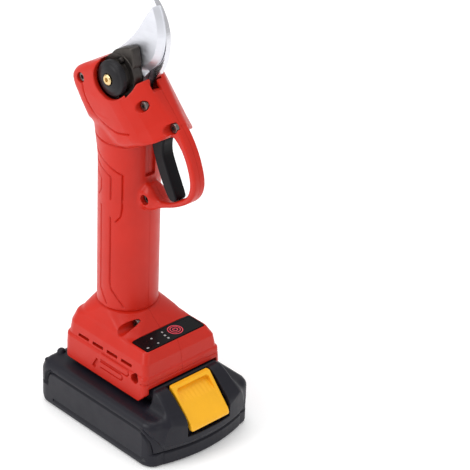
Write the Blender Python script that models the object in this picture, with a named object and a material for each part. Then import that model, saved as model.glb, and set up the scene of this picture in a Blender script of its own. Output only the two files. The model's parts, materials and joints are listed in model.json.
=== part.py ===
"""Battery electric pruner: a two-shell housing, a bevel-driven blade, and a slide-on battery.

Frame: the origin is the centre of the battery's bottom face, +X points to the trigger side,
-Y is the side with the housing screws, and +Z runs up the handle to the blades.
Every size below is in millimetres; MM turns it into metres when a mesh is made.
"""

import math

import bmesh
import bpy
from mathutils import Vector

MM = 0.001
SIDES = 24  # of a round piece
GAP = 0.3  # between pieces that touch on the real tool
PART_LINE = 0.15  # each shell stops this far from the plane y = 0
OVER = -1.0  # shapes run this far over that plane before the shell is cut back to it
RUNNING = 0.05  # radial clearance of a shaft in its bore

# Handle and head
GRIP_X, GRIP_R, WALL = -17.6, 18.3, 2.4
NECK_Z, FOOT_TOP_Z = 72.5, 63.5
HEAD_HALF = 20.5
PIVOT_X, PIVOT_Z = -15.0, 222.0
POCKET_R, POCKET_FLOOR = 12.4, -15.9
CARRIER_R, OPENING_R = 13.0, 13.7
LOCK_X, LOCK_Z = PIVOT_X + 2.9, PIVOT_Z + 10.9  # the small screw on the blade carrier

# Foot and battery
FOOT_Z, FOOT_HALF = 33.0, 30.0
FRONT_LIP_Z = 42.3
SEAM_Z, DECK_Z, RAIL_TOP = 9.5, 30.0, 41.0
BATTERY_BACK, BATTERY_FRONT, BATTERY_HALF = -53.0, 55.0, 40.5
RAIL_HALF, RAIL_NECK_HALF = 24.5, 21.4
LIP_Z = (33.0, 35.6)
PACK_SCREWS = ((-46.8, -36.0), (-46.8, 36.0), (43.4, -36.2), (43.4, 36.2))
LATCH_HALF = 15.4
LATCH_SPRING = (43.5, 23.4, 32.2)  # x, and the z of its two ends' seats

# Drive line, on the pivot's own vertical axis
PINION_TEETH, SECTOR_TEETH = 12, 36
CONE_LENGTH, FACE_WIDTH = 24.0, 7.0
SUN_TEETH, PLANET_TEETH, RING_TEETH, MODULE = 12, 12, 36, 0.6
GEARBOX_Z = 142.0
MOTOR_R, MOTOR_Z, MOTOR_TOP = 12.4, 84.0, 138.0

# Trigger
TRIGGER_PIN = (9.5, 191.0)
TRIGGER_HALF = 4.1

BUTTON_Y = 5.4  # the power button is off the middle of its panel

# Places of the housing screws: x, z, depth of the counterbore's floor on the -Y side
HOUSING_SCREWS = (
    (-37.5, 215.0, -15.0),
    (6.0, 211.0, -10.5),
    (23.0, 201.5, -3.2),
    (3.5, 149.0, -4.0),
    (2.5, 67.5, -5.5),
    (23.0, 46.5, -23.0),
)
SCREW_HEAD_R, SCREW_SHANK_R = 2.6, 1.4
BOSS_RADII = (3.9, 3.4, 3.6, 3.9, 3.9, 3.7)

PAINTS = {
    "red_plastic": ((0.62, 0.045, 0.03), 0.35, 0.0),
    "charcoal_plastic": ((0.045, 0.047, 0.055), 0.5, 0.0),
    "black_plastic": ((0.02, 0.02, 0.024), 0.4, 0.0),
    "gloss_black": ((0.015, 0.015, 0.018), 0.12, 0.0),
    "yellow_plastic": ((0.90, 0.48, 0.03), 0.4, 0.0),
    "blade_steel": ((0.72, 0.73, 0.75), 0.2, 1.0),
    "gunmetal": ((0.10, 0.09, 0.085), 0.4, 1.0),
    "screw_steel": ((0.45, 0.45, 0.46), 0.3, 1.0),
    "brass": ((0.80, 0.62, 0.30), 0.3, 1.0),
    "gear_steel": ((0.38, 0.38, 0.40), 0.35, 1.0),
    "motor_steel": ((0.55, 0.55, 0.57), 0.35, 1.0),
    "copper": ((0.85, 0.42, 0.20), 0.3, 1.0),
    "board_green": ((0.02, 0.12, 0.05), 0.5, 0.0),
    "cell_wrap": ((0.05, 0.25, 0.50), 0.4, 0.0),
    "magnet": ((0.55, 0.55, 0.56), 0.25, 1.0),
    "power_red": ((0.75, 0.06, 0.05), 0.3, 0.0),
}


# ---------------------------------------------------------------- mesh helpers


def paint(name):
    material = bpy.data.materials.get(name)
    if material:
        return material
    colour, roughness, metallic = PAINTS[name]
    material = bpy.data.materials.new(name)
    material.use_nodes = True
    shader = material.node_tree.nodes["Principled BSDF"]
    shader.inputs["Base Color"].default_value = (*colour, 1.0)
    shader.inputs["Roughness"].default_value = roughness
    shader.inputs["Metallic"].default_value = metallic
    material.diffuse_color = (*colour, 1.0)
    return material


def solid(name, points, faces, finish=None, origin=(0.0, 0.0, 0.0)):
    """An object from points in mm, with its origin at a point in mm. No finish makes it a helper."""
    mesh = bpy.data.meshes.new(name)
    shape = bmesh.new()
    centre = Vector(origin)
    corners = [shape.verts.new((Vector(p) - centre) * MM) for p in points]
    for face in faces:
        shape.faces.new([corners[i] for i in face])
    bmesh.ops.recalc_face_normals(shape, faces=shape.faces)
    shape.to_mesh(mesh)
    shape.free()
    mesh.shade_smooth()
    mesh.set_sharp_from_angle(angle=math.radians(32))
    piece = bpy.data.objects.new(name, mesh)
    piece.location = centre * MM
    bpy.context.scene.collection.objects.link(piece)
    if finish:
        mesh.materials.append(paint(finish))
    else:
        piece.hide_render = True
        piece.display_type = "WIRE"
    return piece


def loft(name, rings, finish=None, origin=(0.0, 0.0, 0.0), closed=False):
    """Skins rings of equal length. A closed loft joins the last ring to the first."""
    count = len(rings[0])
    points = [p for ring in rings for p in ring]
    faces = []
    last = len(rings) if closed else len(rings) - 1
    for k in range(last):
        low, high = k * count, ((k + 1) % len(rings)) * count
        for i in range(count):
            j = (i + 1) % count
            faces.append((low + i, low + j, high + j, high + i))
    if not closed:
        faces.append(tuple(range(count)))
        faces.append(tuple(len(points) - count + i for i in range(count)))
    return solid(name, points, faces, finish, origin)


def placed(axis, centre, a, b, along):
    """A point from two coordinates across an axis and one along it."""
    x, y, z = centre
    if axis == "Z":
        return (x + a, y + b, z + along)
    if axis == "Y":
        return (x + a, y + along, z + b)
    return (x + along, y + a, z + b)


def turned(name, profile, centre, axis="Z", finish=None, sides=SIDES, bored=False):
    """Turns (radius, height) pairs about an axis. A bored profile is a closed outline off the axis."""
    rings = []
    for radius, along in profile:
        ring = []
        for i in range(sides):
            angle = math.tau * i / sides
            ring.append(placed(axis, centre, radius * math.cos(angle), radius * math.sin(angle), along))
        rings.append(ring)
    return loft(name, rings, finish, centre, closed=bored)


def plate(name, outline, y0, y1, finish=None, origin=(0.0, 0.0, 0.0)):
    """An outline of (x, z) pairs, as thick as y0 to y1."""
    rings = [[(x, y, z) for x, z in outline] for y in (y0, y1)]
    return loft(name, rings, finish, origin)


def slab(name, outline, z0, z1, finish=None, origin=(0.0, 0.0, 0.0)):
    """An outline of (x, y) pairs, as high as z0 to z1."""
    rings = [[(x, y, z) for x, y in outline] for z in (z0, z1)]
    return loft(name, rings, finish, origin)


def block(name, x, y, z, finish=None, origin=None):
    outline = ((x[0], y[0]), (x[1], y[0]), (x[1], y[1]), (x[0], y[1]))
    middle = (sum(x) / 2, sum(y) / 2, sum(z) / 2)
    return slab(name, outline, z[0], z[1], finish, origin or middle)


def combine(piece, other, operation):
    """A Boolean between two closed meshes. The shells' halves share flat faces, which MANIFOLD keeps closed."""
    change = piece.modifiers.new(other.name, "BOOLEAN")
    change.operation = operation
    change.solver = "MANIFOLD"
    change.object = other
    return piece


def cut(piece, *cutters):
    for cutter in cutters:
        combine(piece, cutter, "DIFFERENCE")
    return piece


def join(piece, *others):
    for other in others:
        combine(piece, other, "UNION")
    return piece


def bevelled(piece, width, segments=1):
    edge = piece.modifiers.new("edge", "BEVEL")
    edge.width = width * MM
    edge.segments = segments
    edge.limit_method = "ANGLE"
    edge.angle_limit = math.radians(40)
    return piece


def arc(centre, radius, start, end, steps):
    """Points on an arc of a circle, in degrees."""
    points = []
    for i in range(steps + 1):
        angle = math.radians(start + (end - start) * i / steps)
        points.append((centre[0] + radius * math.cos(angle), centre[1] + radius * math.sin(angle)))
    return points


def rounded_box(x, half, corner, steps=3):
    """A rectangle's outline with round corners, x[0] to x[1] and half each way in y."""
    points = []
    for sx, sy, start in ((1, 1, 0), (0, 1, 90), (0, -1, 180), (1, -1, 270)):
        centre = (x[1] - corner if sx else x[0] + corner, sy * (half - corner))
        points += arc(centre, corner, start, start + 90, steps)
    return points


def bore_radius(radius, sides=SIDES):
    """The corner radius of a bore whose flats clear a shaft of this radius."""
    return (radius + RUNNING) / math.cos(math.pi / sides)


# ---------------------------------------------------------------- housing


HEAD_OUTLINE = (
    (1.5, 224.4),
    (36.0, 191.6),
    (21.0, 194.5),
    (11.0, 190.5),
    (3.0, 186.5),
    (-8.0, 183.6),
    (-20.0, 183.8),
    (-31.0, 186.5),
    (-39.5, 190.5),
    (-44.2, 204.5),
    (-46.8, 212.0),
    (-45.6, 216.4),
    (-41.5, 220.2),
    (-30.0, 227.3),
    (-21.0, 232.6),
    (-14.0, 234.2),
    (-6.0, 228.5),
)
HEAD_CENTRE = (-15.0, 207.0)
# Depth, and how far the head's rounded rim steps in there
HEAD_RIM = ((0.0, 0.0), (14.0, 0.5), (17.0, 1.8), (19.3, 4.2), (HEAD_HALF, 8.0))
# Distance behind the front line, and the head's half width there
HEAD_BOW = (
    (0.0, 5.5),
    (1.2, 7.2),
    (3.4, 9.9),
    (6.5, 12.7),
    (10.5, 15.9),
    (15.5, 18.2),
    (22.0, 20.0),
    (32.0, 21.0),
)
FRONT_POINT, FRONT_LEAN = (2.5, 224.0), 43.5  # where the nose's front line starts, and its slope down


def stepped_in(point, step):
    """An outline point moved towards the head's middle."""
    towards = Vector((HEAD_CENTRE[0] - point[0], HEAD_CENTRE[1] - point[1])).normalized()
    return (point[0] + towards.x * step, point[1] + towards.y * step)


def head(name, side, wall):
    """The head's half: an outline with a rounded rim, and a front that narrows like a bow."""
    rings = []
    for depth, step in HEAD_RIM:
        y = side * (depth - wall) if depth else side * OVER
        rings.append([(x, y, z) for x, z in (stepped_in(p, step + wall) for p in HEAD_OUTLINE)])
    piece = loft(name, rings)
    down = math.radians(FRONT_LEAN)
    along = Vector((math.cos(down), 0.0, -math.sin(down)))
    inward = Vector((-math.sin(down), 0.0, -math.cos(down)))
    section = [(wall, OVER)] + [(d + wall, w - wall * 0.8) for d, w in HEAD_BOW] + [(90.0, 21.5), (90.0, OVER)]
    start = Vector((FRONT_POINT[0], 0.0, FRONT_POINT[1]))
    rings = []
    for reach in (-60.0, 90.0):
        centre = start + along * reach
        rings.append([tuple(centre + inward * d + Vector((0.0, side * w, 0.0))) for d, w in section])
    return combine(piece, loft(name + "_bow", rings), "INTERSECT")


def half_disc(side, radius):
    """The outline of half the round handle, running a little over the parting plane."""
    start = math.degrees(math.asin(OVER / radius))
    return [(x, side * y) for x, y in arc((GRIP_X, 0.0), radius, start, 180.0 - start, 14)]


def grip_half(name, side, radius, z0, z1):
    return slab(name, half_disc(side, radius), z0, z1)


def neck_half(name, side, wall):
    """The flare from the handle out to the foot."""
    rings = []
    roof = ((56.0, 27.0), (61.0, 25.5), (64.5, 22.8), (68.0, 20.4), (NECK_Z, 18.6), (NECK_Z + 2.0, 17.9))
    for z, radius in roof:
        rings.append([(x, y, z - wall * 0.4) for x, y in half_disc(side, radius - wall)])
    return loft(name, rings)


# z, back x, front x, half width
FOOT_LAYERS = (
    (FOOT_Z, -42.0, 26.0, FOOT_HALF),
    (FRONT_LIP_Z, -42.0, 32.0, 29.6),
    (50.0, -41.6, 30.4, 29.0),
    (57.0, -39.8, 28.3, 26.4),
    (62.4, -38.0, 26.6, 24.1),
    (FOOT_TOP_Z, -36.8, 25.2, 22.8),
)


def foot_half(name, side, wall, low):
    rings = []
    corner = 6.0 - wall / 2
    for z, back, front, half in FOOT_LAYERS:
        centre_y = half - wall / 2 - 6.0
        outline = [(front - wall - wall / 2, OVER)]
        outline += arc((front - 6.0 - wall, centre_y), corner, 0.0, 90.0, 4)
        outline += arc((back + 6.0 + wall, centre_y), corner, 90.0, 180.0, 4)
        outline.append((back + wall + wall / 2, OVER))
        height = max(z - (wall if z > 55.0 else 0.0), low)
        rings.append([(x, side * y, height) for x, y in outline])
    return loft(name, rings)


GUARD_OUTER = (
    (24.0, 203.0),
    (32.6, 194.6),
    (37.2, 186.8),
    (40.4, 178.6),
    (41.6, 172.0),
    (40.8, 166.5),
    (38.2, 161.6),
    (33.6, 157.2),
    (25.0, 151.8),
    (14.0, 146.8),
    (4.0, 141.5),
    (-6.0, 141.0),
)
GUARD_INNER = (
    (-6.0, 158.0),
    (3.5, 157.0),
    (8.0, 152.8),
    (13.0, 150.9),
    (20.0, 153.0),
    (28.0, 157.4),
    (33.4, 161.6),
    (35.9, 165.2),
    (37.0, 170.0),
    (36.2, 176.4),
    (33.0, 184.6),
    (28.6, 191.0),
    (22.5, 195.6),
    (14.0, 196.5),
)
GUARD_HALF = 4.4


def screw_boss(number, side):
    x, z, floor = HOUSING_SCREWS[number - 1]
    ends = (floor - 2.4, -OVER) if side < 0 else (OVER, boss_end(number))
    radius = BOSS_RADII[number - 1]
    return turned(f"boss_{number}_{side}", [(radius, y) for y in ends], (x, 0.0, z), "Y", sides=14)


def boss_end(number):
    """How far the +Y half's boss runs before it meets the wall."""
    return (16.5, 12.5, 6.5, 6.5, 15.0, 27.5)[number - 1]


def screw_hole(number, side):
    """The counterbore and clearance hole in the -Y shell, or the blind hole in the +Y shell."""
    x, z, floor = HOUSING_SCREWS[number - 1]
    clear = SCREW_SHANK_R + 0.3
    if side < 0:
        profile = ((3.1, -40.0), (3.1, floor), (clear, floor), (clear, 2.0))
    else:
        profile = ((clear, -2.0), (clear, min(boss_end(number) - 1.5, 8.0)))
    return turned(f"screw_hole_{number}_{side}", profile, (x, 0.0, z), "Y", sides=16)


def across(side, near, far):
    """A span of y on one side of the parting plane, low end first."""
    return tuple(sorted((side * near, side * far)))


def make_housing(side):
    tag = "_left" if side < 0 else "_right"
    trigger_pin = (TRIGGER_PIN[0], 0.0, TRIGGER_PIN[1])
    shell = grip_half("housing" + tag, side, GRIP_R, 66.0, 198.0)
    shell.hide_render = False
    shell.display_type = "TEXTURED"
    shell.data.materials.append(paint("red_plastic"))
    join(
        shell,
        head("head_outside" + tag, side, 0.0),
        plate("guard" + tag, GUARD_OUTER + GUARD_INNER, *across(side, OVER, GUARD_HALF)),
        neck_half("neck_outside" + tag, side, 0.0),
        foot_half("foot_outside" + tag, side, 0.0, 0.0),
    )
    cut(
        shell,
        head("head_inside" + tag, side, WALL),
        grip_half("grip_inside" + tag, side, GRIP_R - WALL + 0.2, 60.0, 200.0),
        foot_half("foot_inside" + tag, side, WALL, FOOT_Z + 6.0),
        neck_half("neck_inside" + tag, side, WALL),
    )
    numbers = range(1, len(HOUSING_SCREWS) + 1)
    join(shell, *[screw_boss(number, side) for number in numbers])
    cut(shell, block("dock" + tag, (-50.0, 40.0), across(side, -2.0, 26.9), (20.0, FRONT_LIP_Z)))
    join(shell, block("rail_lip" + tag, (-38.0, 24.0), across(side, 22.2, 27.6), LIP_Z))
    cut(shell, *[screw_hole(number, side) for number in numbers])
    opening = (POCKET_FLOOR, 2.0) if side < 0 else (-2.0, 7.4)
    slot = ((-30.0, 222.0), (-15.0, 222.0), (-10.0, 212.0), (8.0, 214.0), (12.0, 245.0), (-30.0, 245.0))
    trigger_way = ((-1.6, 176.0), (14.0, 176.0), (20.6, 199.5), (-1.6, 199.5))
    cut(
        shell,
        turned("opening" + tag, [(OPENING_R, y) for y in opening], (PIVOT_X, 0.0, PIVOT_Z), "Y", sides=32),
        plate("blade_slot" + tag, slot, *across(side, -2.0, 4.3)),
        plate("trigger_slot" + tag, trigger_way, *across(side, -2.0, TRIGGER_HALF + 0.5)),
        block("panel_recess" + tag, (11.6, 25.9), across(side, -2.0, 22.9), (61.9, 70.0)),
        block("panel_window" + tag, (13.4, 24.0), across(side, -2.0, 19.5), (55.0, 70.0)),
        turned("pin_seat" + tag, [(1.8, y) for y in across(side, -2.0, 5.6)], trigger_pin, "Y", sides=12),
    )
    if side < 0:
        pocket = ((POCKET_R, -30.0), (POCKET_R, POCKET_FLOOR + 0.2))
        lobe_way = arc((PIVOT_X, PIVOT_Z), 15.8, 85.0, 175.0, 8) + [(PIVOT_X, PIVOT_Z)]
        cut(
            shell,
            turned("cap_pocket", pocket, (PIVOT_X, 0.0, PIVOT_Z), "Y", sides=32),
            plate("lobe_way", lobe_way, -11.4, 2.0),
        )
    else:
        nut_seat = ((6.9, 2.0), (6.9, 11.6))
        cut(
            shell,
            turned("nut_seat", nut_seat, (PIVOT_X, 0.0, PIVOT_Z), "Y", sides=20),
            turned("spring_seat", ((4.2, 2.0), (4.2, 7.6)), trigger_pin, "Y", sides=16),
        )
    for k in range(4):
        x = -28.5 + 12.0 * k
        cut(shell, block(f"vent_{k + 1}" + tag, (x, x + 9.0), across(side, 20.0, 34.0), (51.0, 52.4)))
    cut(shell, block("parting" + tag, (-90.0, 90.0), across(side, PART_LINE, -9.0), (0.0, 300.0)))
    return shell


def make_housing_screws():
    for number, (x, z, floor) in enumerate(HOUSING_SCREWS, 1):
        reach = min(boss_end(number) - 2.5, 6.5)
        head_y = floor - GAP
        profile = (
            (SCREW_HEAD_R, head_y - 1.9),
            (SCREW_HEAD_R, head_y),
            (SCREW_SHANK_R, head_y),
            (SCREW_SHANK_R, reach),
        )
        screw = turned(f"housing_screw_{number}", profile, (x, 0.0, z), "Y", "screw_steel", sides=14)
        cut(screw, cross_recess(f"recess_{number}", (x, head_y - 1.9, z)))


def cross_recess(name, centre, arm=1.5, width=0.55, depth=1.1):
    """A cross-shaped recess for a driver, cut along +Y into a head."""
    x, y, z = centre
    outline = []
    for quarter in range(4):
        angle = quarter * math.pi / 2
        for a, b in ((arm, -width / 2), (arm, width / 2), (width / 2, width / 2)):
            outline.append(
                (x + a * math.cos(angle) - b * math.sin(angle), z + a * math.sin(angle) + b * math.cos(angle))
            )
    return plate(name, outline, y - 1.0, y + depth)


# ---------------------------------------------------------------- blades and pivot


HOOK_OUTER = (
    (5.0, 226.4),
    (9.2, 235.0),
    (10.9, 244.6),
    (10.6, 252.0),
    (7.6, 260.5),
    (2.5, 267.4),
    (-1.8, 270.4),
)
HOOK_INNER = ((-2.4, 266.0), (0.6, 259.0), (2.4, 250.0), (1.6, 242.0), (-1.4, 235.6), (-5.5, 231.8))
BLADE_SPINE = ((-24.6, 233.0), (-15.6, 241.6), (-8.8, 249.8), (-2.0, 260.6), (2.6, 266.9), (6.6, 268.6))
BLADE_EDGE = ((9.6, 261.5), (11.2, 253.5), (10.8, 246.0), (8.8, 238.6), (5.2, 232.6), (-1.0, 227.0))


def make_blades():
    pivot = (PIVOT_X, PIVOT_Z)
    origin = (PIVOT_X, 0.0, PIVOT_Z)
    moving = list(BLADE_SPINE) + list(BLADE_EDGE) + arc(pivot, 12.0, 0.0, -215.0, 16)
    blade = plate("moving_blade", moving, -3.6, -0.2, "blade_steel", origin)
    hole = [(bore_radius(4.0), y) for y in (-9.0, 9.0)]
    cut(blade, turned("blade_bore", hole, origin, "Y"))
    fixed = list(HOOK_OUTER) + list(HOOK_INNER) + arc(pivot, 12.0, 60.0, 290.0, 14)
    fixed += [(-8.0, 205.0), (1.0, 203.5), (3.0, 206.6), (0.6, 214.0), (1.0, 220.0)]
    hook = plate("fixed_blade", fixed, 0.2, 3.8, "blade_steel", origin)
    cut(hook, turned("hook_bore", hole, origin, "Y"))
    mount_outline = arc(pivot, 12.4, 60.0, 290.0, 16)
    mount_outline += [(-8.0, 204.5), (1.4, 202.6), (3.6, 206.0), (0.4, 213.6), (-5.4, 221.4), (-6.0, 231.0)]
    mount = plate("blade_mount", mount_outline, 4.1, 7.0, "gunmetal", origin)
    cut(mount, turned("mount_bore", hole, origin, "Y"))
    for number, (x, z) in enumerate(((-23.2, 215.0), (-2.8, 208.6)), 1):
        for target in (hook, mount):
            name = f"{target.name}_hole_{number}"
            drill = turned(name, ((1.7, -1.0), (1.7, 12.0)), (x, 0.0, z), "Y", sides=14)
            cut(target, drill)
        profile = ((1.4, 0.6), (1.4, 7.3), (2.9, 7.3), (2.9, 8.9))
        turned(f"blade_screw_{number}", profile, (x, 0.0, z), "Y", "screw_steel", sides=14)


def make_carrier():
    """The driven hub that the moving blade is keyed to."""
    centre = (PIVOT_X, 0.0, PIVOT_Z)
    bore = bore_radius(4.0)
    profile = (
        (6.0, -13.5),
        (9.5, -13.5),
        (9.5, -11.2),
        (CARRIER_R, -11.2),
        (CARRIER_R, -6.2),
        (11.5, -6.2),
        (11.5, -3.9),
        (bore, -3.9),
        (bore, -10.3),
        (6.0, -10.3),
    )
    hub = turned("blade_carrier", profile, centre, "Y", "gunmetal", sides=32, bored=True)
    lobe = (
        (-24.0, 229.0),
        (-20.5, 235.6),
        (-16.5, 237.8),
        (-12.0, 240.4),
        (-5.6, 241.2),
        (-4.4, 238.0),
        (-4.8, 227.0),
    )
    join(hub, plate("carrier_lobe", lobe, -10.6, -4.1))
    cut(hub, turned("lock_hole", ((1.1, -14.0), (1.1, -7.5)), (LOCK_X, 0.0, LOCK_Z), "Y", sides=12))
    lock = ((1.5, -12.9), (1.5, -11.5), (0.8, -11.5), (0.8, -8.0))
    turned("carrier_screw", lock, (LOCK_X, 0.0, LOCK_Z), "Y", "screw_steel", sides=12)


def make_pivot():
    centre = (PIVOT_X, 0.0, PIVOT_Z)
    turned(
        "pivot_bolt",
        ((1.7, -13.4), (5.4, -13.4), (5.4, -10.6), (4.0, -10.6), (4.0, 11.2), (1.7, 11.2)),
        centre,
        "Y",
        "screw_steel",
        bored=True,
    )
    nut = ((4.3, 7.3), (6.4, 7.3), (6.4, 10.6), (4.3, 10.6))
    turned("pivot_nut", nut, centre, "Y", "screw_steel", bored=True)
    turned(
        "pivot_cap",
        (
            (2.1, -13.8),
            (9.6, -13.8),
            (10.5, -14.4),
            (10.5, -17.0),
            (9.9, -17.7),
            (7.0, -18.8),
            (4.2, -19.5),
            (3.6, -19.5),
            (3.6, -18.4),
            (2.1, -18.4),
        ),
        centre,
        "Y",
        "black_plastic",
        sides=28,
        bored=True,
    )
    brass = turned(
        "cap_screw",
        ((1.5, -11.2), (1.5, -18.7), (3.2, -18.7), (3.2, -19.9), (2.6, -20.4)),
        centre,
        "Y",
        "brass",
        sides=16,
    )
    cut(brass, turned("hex_recess", ((1.5, -22.0), (1.5, -19.2)), centre, "Y", sides=6))


# ---------------------------------------------------------------- gears


def tooth_points(teeth, pitch_radius, addendum, dedendum, thickness, tip_share, phase, inward=False):
    """A gear's outline of straight-sided teeth: root, flank, tip, flank. thickness is a share of the pitch."""
    root = pitch_radius + dedendum if inward else pitch_radius - dedendum
    tip = pitch_radius - addendum if inward else pitch_radius + addendum
    step = math.tau / teeth
    points = []
    for i in range(teeth):
        middle = step * i + phase
        wide = step * thickness * 0.72
        narrow = step * thickness * tip_share
        for angle, radius in ((-wide, root), (-narrow, tip), (narrow, tip), (wide, root)):
            points.append((radius * math.cos(middle + angle), radius * math.sin(middle + angle)))
    return points


def spur_gear(name, teeth, phase, centre, z0, z1, bore, finish):
    """A solid spur gear, with a bore where one is given."""
    pitch = MODULE * teeth / 2
    outline = tooth_points(teeth, pitch, 0.75 * MODULE, 1.2 * MODULE, 0.36, 0.22, phase)
    placed_outline = [(centre[0] + x, centre[1] + y) for x, y in outline]
    gear = slab(name, placed_outline, z0, z1, finish, (centre[0], centre[1], (z0 + z1) / 2))
    if bore:
        through = ((bore, z0 - 1.0), (bore, z1 + 1.0))
        cut(gear, turned(name + "_bore", through, (centre[0], centre[1], 0.0), sides=16))
    return gear


def make_gearbox():
    """One planetary stage: the motor turns the sun, the ring is fixed, the carrier turns the pinion."""
    low, high = GEARBOX_Z + 2.5, GEARBOX_Z + 9.5
    ring_pitch = MODULE * RING_TEETH / 2
    inner = tooth_points(RING_TEETH, ring_pitch, 0.75 * MODULE, 1.2 * MODULE, 0.36, 0.22, 0.0, inward=True)
    inner = [(PIVOT_X + x, y) for x, y in inner]
    outline = arc((PIVOT_X, 0.0), 13.0, 0.0, 360.0 - 360.0 / 36, 35)
    case = slab("ring_gear", outline, low - 2.0, high + 2.0, "gear_steel", (PIVOT_X, 0.0, low))
    cut(case, slab("ring_teeth", inner, low - 4.0, high + 4.0))
    # A tooth of the sun points at each planet, so each planet has a gap there
    spur_gear("sun_gear", SUN_TEETH, 0.0, (PIVOT_X, 0.0), low, high, 1.3, "gear_steel")
    orbit = MODULE * (SUN_TEETH + PLANET_TEETH) / 2
    for k in range(3):
        angle = math.tau * k / 3
        centre = (PIVOT_X + orbit * math.cos(angle), orbit * math.sin(angle))
        half_tooth = math.pi / PLANET_TEETH
        name = f"planet_gear_{k + 1}"
        spur_gear(name, PLANET_TEETH, angle + half_tooth, centre, low, high, 1.35, "gear_steel")
    carrier = turned(
        "planet_carrier",
        ((10.0, high + 0.4), (10.0, high + 3.0), (4.0, high + 3.0), (4.0, 197.6), (2.5, 197.6), (2.5, 205.5)),
        (PIVOT_X, 0.0, 0.0),
        finish="gear_steel",
    )
    for k in range(3):
        angle = math.tau * k / 3
        x, y = PIVOT_X + orbit * math.cos(angle), orbit * math.sin(angle)
        pin = ((1.2, low + 0.2), (1.2, high + 1.5))
        join(carrier, turned(f"planet_pin_{k + 1}", pin, (x, y, 0.0), sides=12))
    turned(
        "gearbox_cover",
        ((4.6, high + 3.4), (13.0, high + 3.4), (13.0, high + 6.0), (4.6, high + 6.0)),
        (PIVOT_X, 0.0, 0.0),
        finish="motor_steel",
        bored=True,
    )


def bevel_rings(teeth, cone_angle, thickness, phase):
    """Inner and outer tooth outlines on a cone whose tip is at the origin and whose axis is +Z."""
    rings = []
    for length in (CONE_LENGTH - FACE_WIDTH, CONE_LENGTH):
        scale = length / CONE_LENGTH
        module = 2.0 * CONE_LENGTH * math.sin(cone_angle) / teeth * scale
        ring = []
        for i in range(teeth):
            middle = math.tau * i / teeth + phase
            step = math.tau / teeth
            for share, height in ((-0.72, -1.15), (-0.5, 0.70), (0.5, 0.70), (0.72, -1.15)):
                angle = middle + step * thickness * share
                lift = height * module
                radius = length * math.sin(cone_angle) + lift * math.cos(cone_angle)
                along = length * math.cos(cone_angle) - lift * math.sin(cone_angle)
                ring.append((radius * math.cos(angle), radius * math.sin(angle), along))
        rings.append(ring)
    return rings


def make_bevel_gears():
    """The pinion on the vertical shaft and the toothed sector on the blade's hub meet below the pivot."""
    pinion_cone = math.atan(PINION_TEETH / SECTOR_TEETH)
    small, large = bevel_rings(PINION_TEETH, pinion_cone, 0.34, math.pi / PINION_TEETH + math.pi / 2)
    rings = [[(PIVOT_X + x, y, PIVOT_Z - z) for x, y, z in ring] for ring in (small, large)]
    pinion = loft("bevel_pinion", rings, "gear_steel", (PIVOT_X, 0.0, PIVOT_Z - CONE_LENGTH))
    cut(pinion, turned("pinion_bore", ((2.7, 190.0), (2.7, 215.0)), (PIVOT_X, 0.0, 0.0), sides=16))
    sector_cone = math.pi / 2 - pinion_cone
    small, large = bevel_rings(SECTOR_TEETH, sector_cone, 0.34, 0.0)
    # Only the teeth that reach the pinion as the blade opens
    first, last = -5, 0
    keep = []
    for ring in (small, large):
        teeth = []
        for tooth in range(first, last + 1):
            index = (tooth - SECTOR_TEETH // 4) % SECTOR_TEETH
            teeth += ring[4 * index : 4 * index + 4]
        keep.append([(PIVOT_X + x, -z, PIVOT_Z + y) for x, y, z in teeth])
    inner_edge, outer_edge = keep
    back_y, web_y, rim_y = -13.6, -11.6, -10.8
    points, faces = [], []
    for near, far in zip(inner_edge, outer_edge):
        direction = Vector((near[0] - PIVOT_X, near[2] - PIVOT_Z)).normalized()
        hub = (PIVOT_X + direction.x * 9.8, PIVOT_Z + direction.y * 9.8)
        web = (PIVOT_X + direction.x * 15.4, PIVOT_Z + direction.y * 15.4)
        rim = (PIVOT_X + direction.x * 23.7, PIVOT_Z + direction.y * 23.7)
        points += [
            (hub[0], back_y, hub[1]),
            (hub[0], web_y, hub[1]),
            (web[0], web_y, web[1]),
            near,
            far,
            (rim[0], far[1] - 0.6, rim[1]),
            (rim[0], rim_y, rim[1]),
        ]
    per = 7
    columns = len(inner_edge)
    for c in range(columns - 1):
        for k in range(per):
            n = (k + 1) % per
            faces.append((c * per + k, c * per + n, (c + 1) * per + n, (c + 1) * per + k))
    faces.append(tuple(range(per)))
    faces.append(tuple((columns - 1) * per + k for k in range(per)))
    solid("bevel_sector", points, faces, "gear_steel", (PIVOT_X, 0.0, PIVOT_Z))


def make_shaft_bearing():
    """The output shaft's flanged bearing, which the two shells clamp."""
    bore = bore_radius(4.0)
    profile = ((bore, 184.0), (13.2, 184.0), (13.2, 187.0), (10.0, 187.0), (10.0, 190.4), (bore, 190.4))
    turned("output_bearing", profile, (PIVOT_X, 0.0, 0.0), finish="motor_steel", bored=True)


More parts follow.
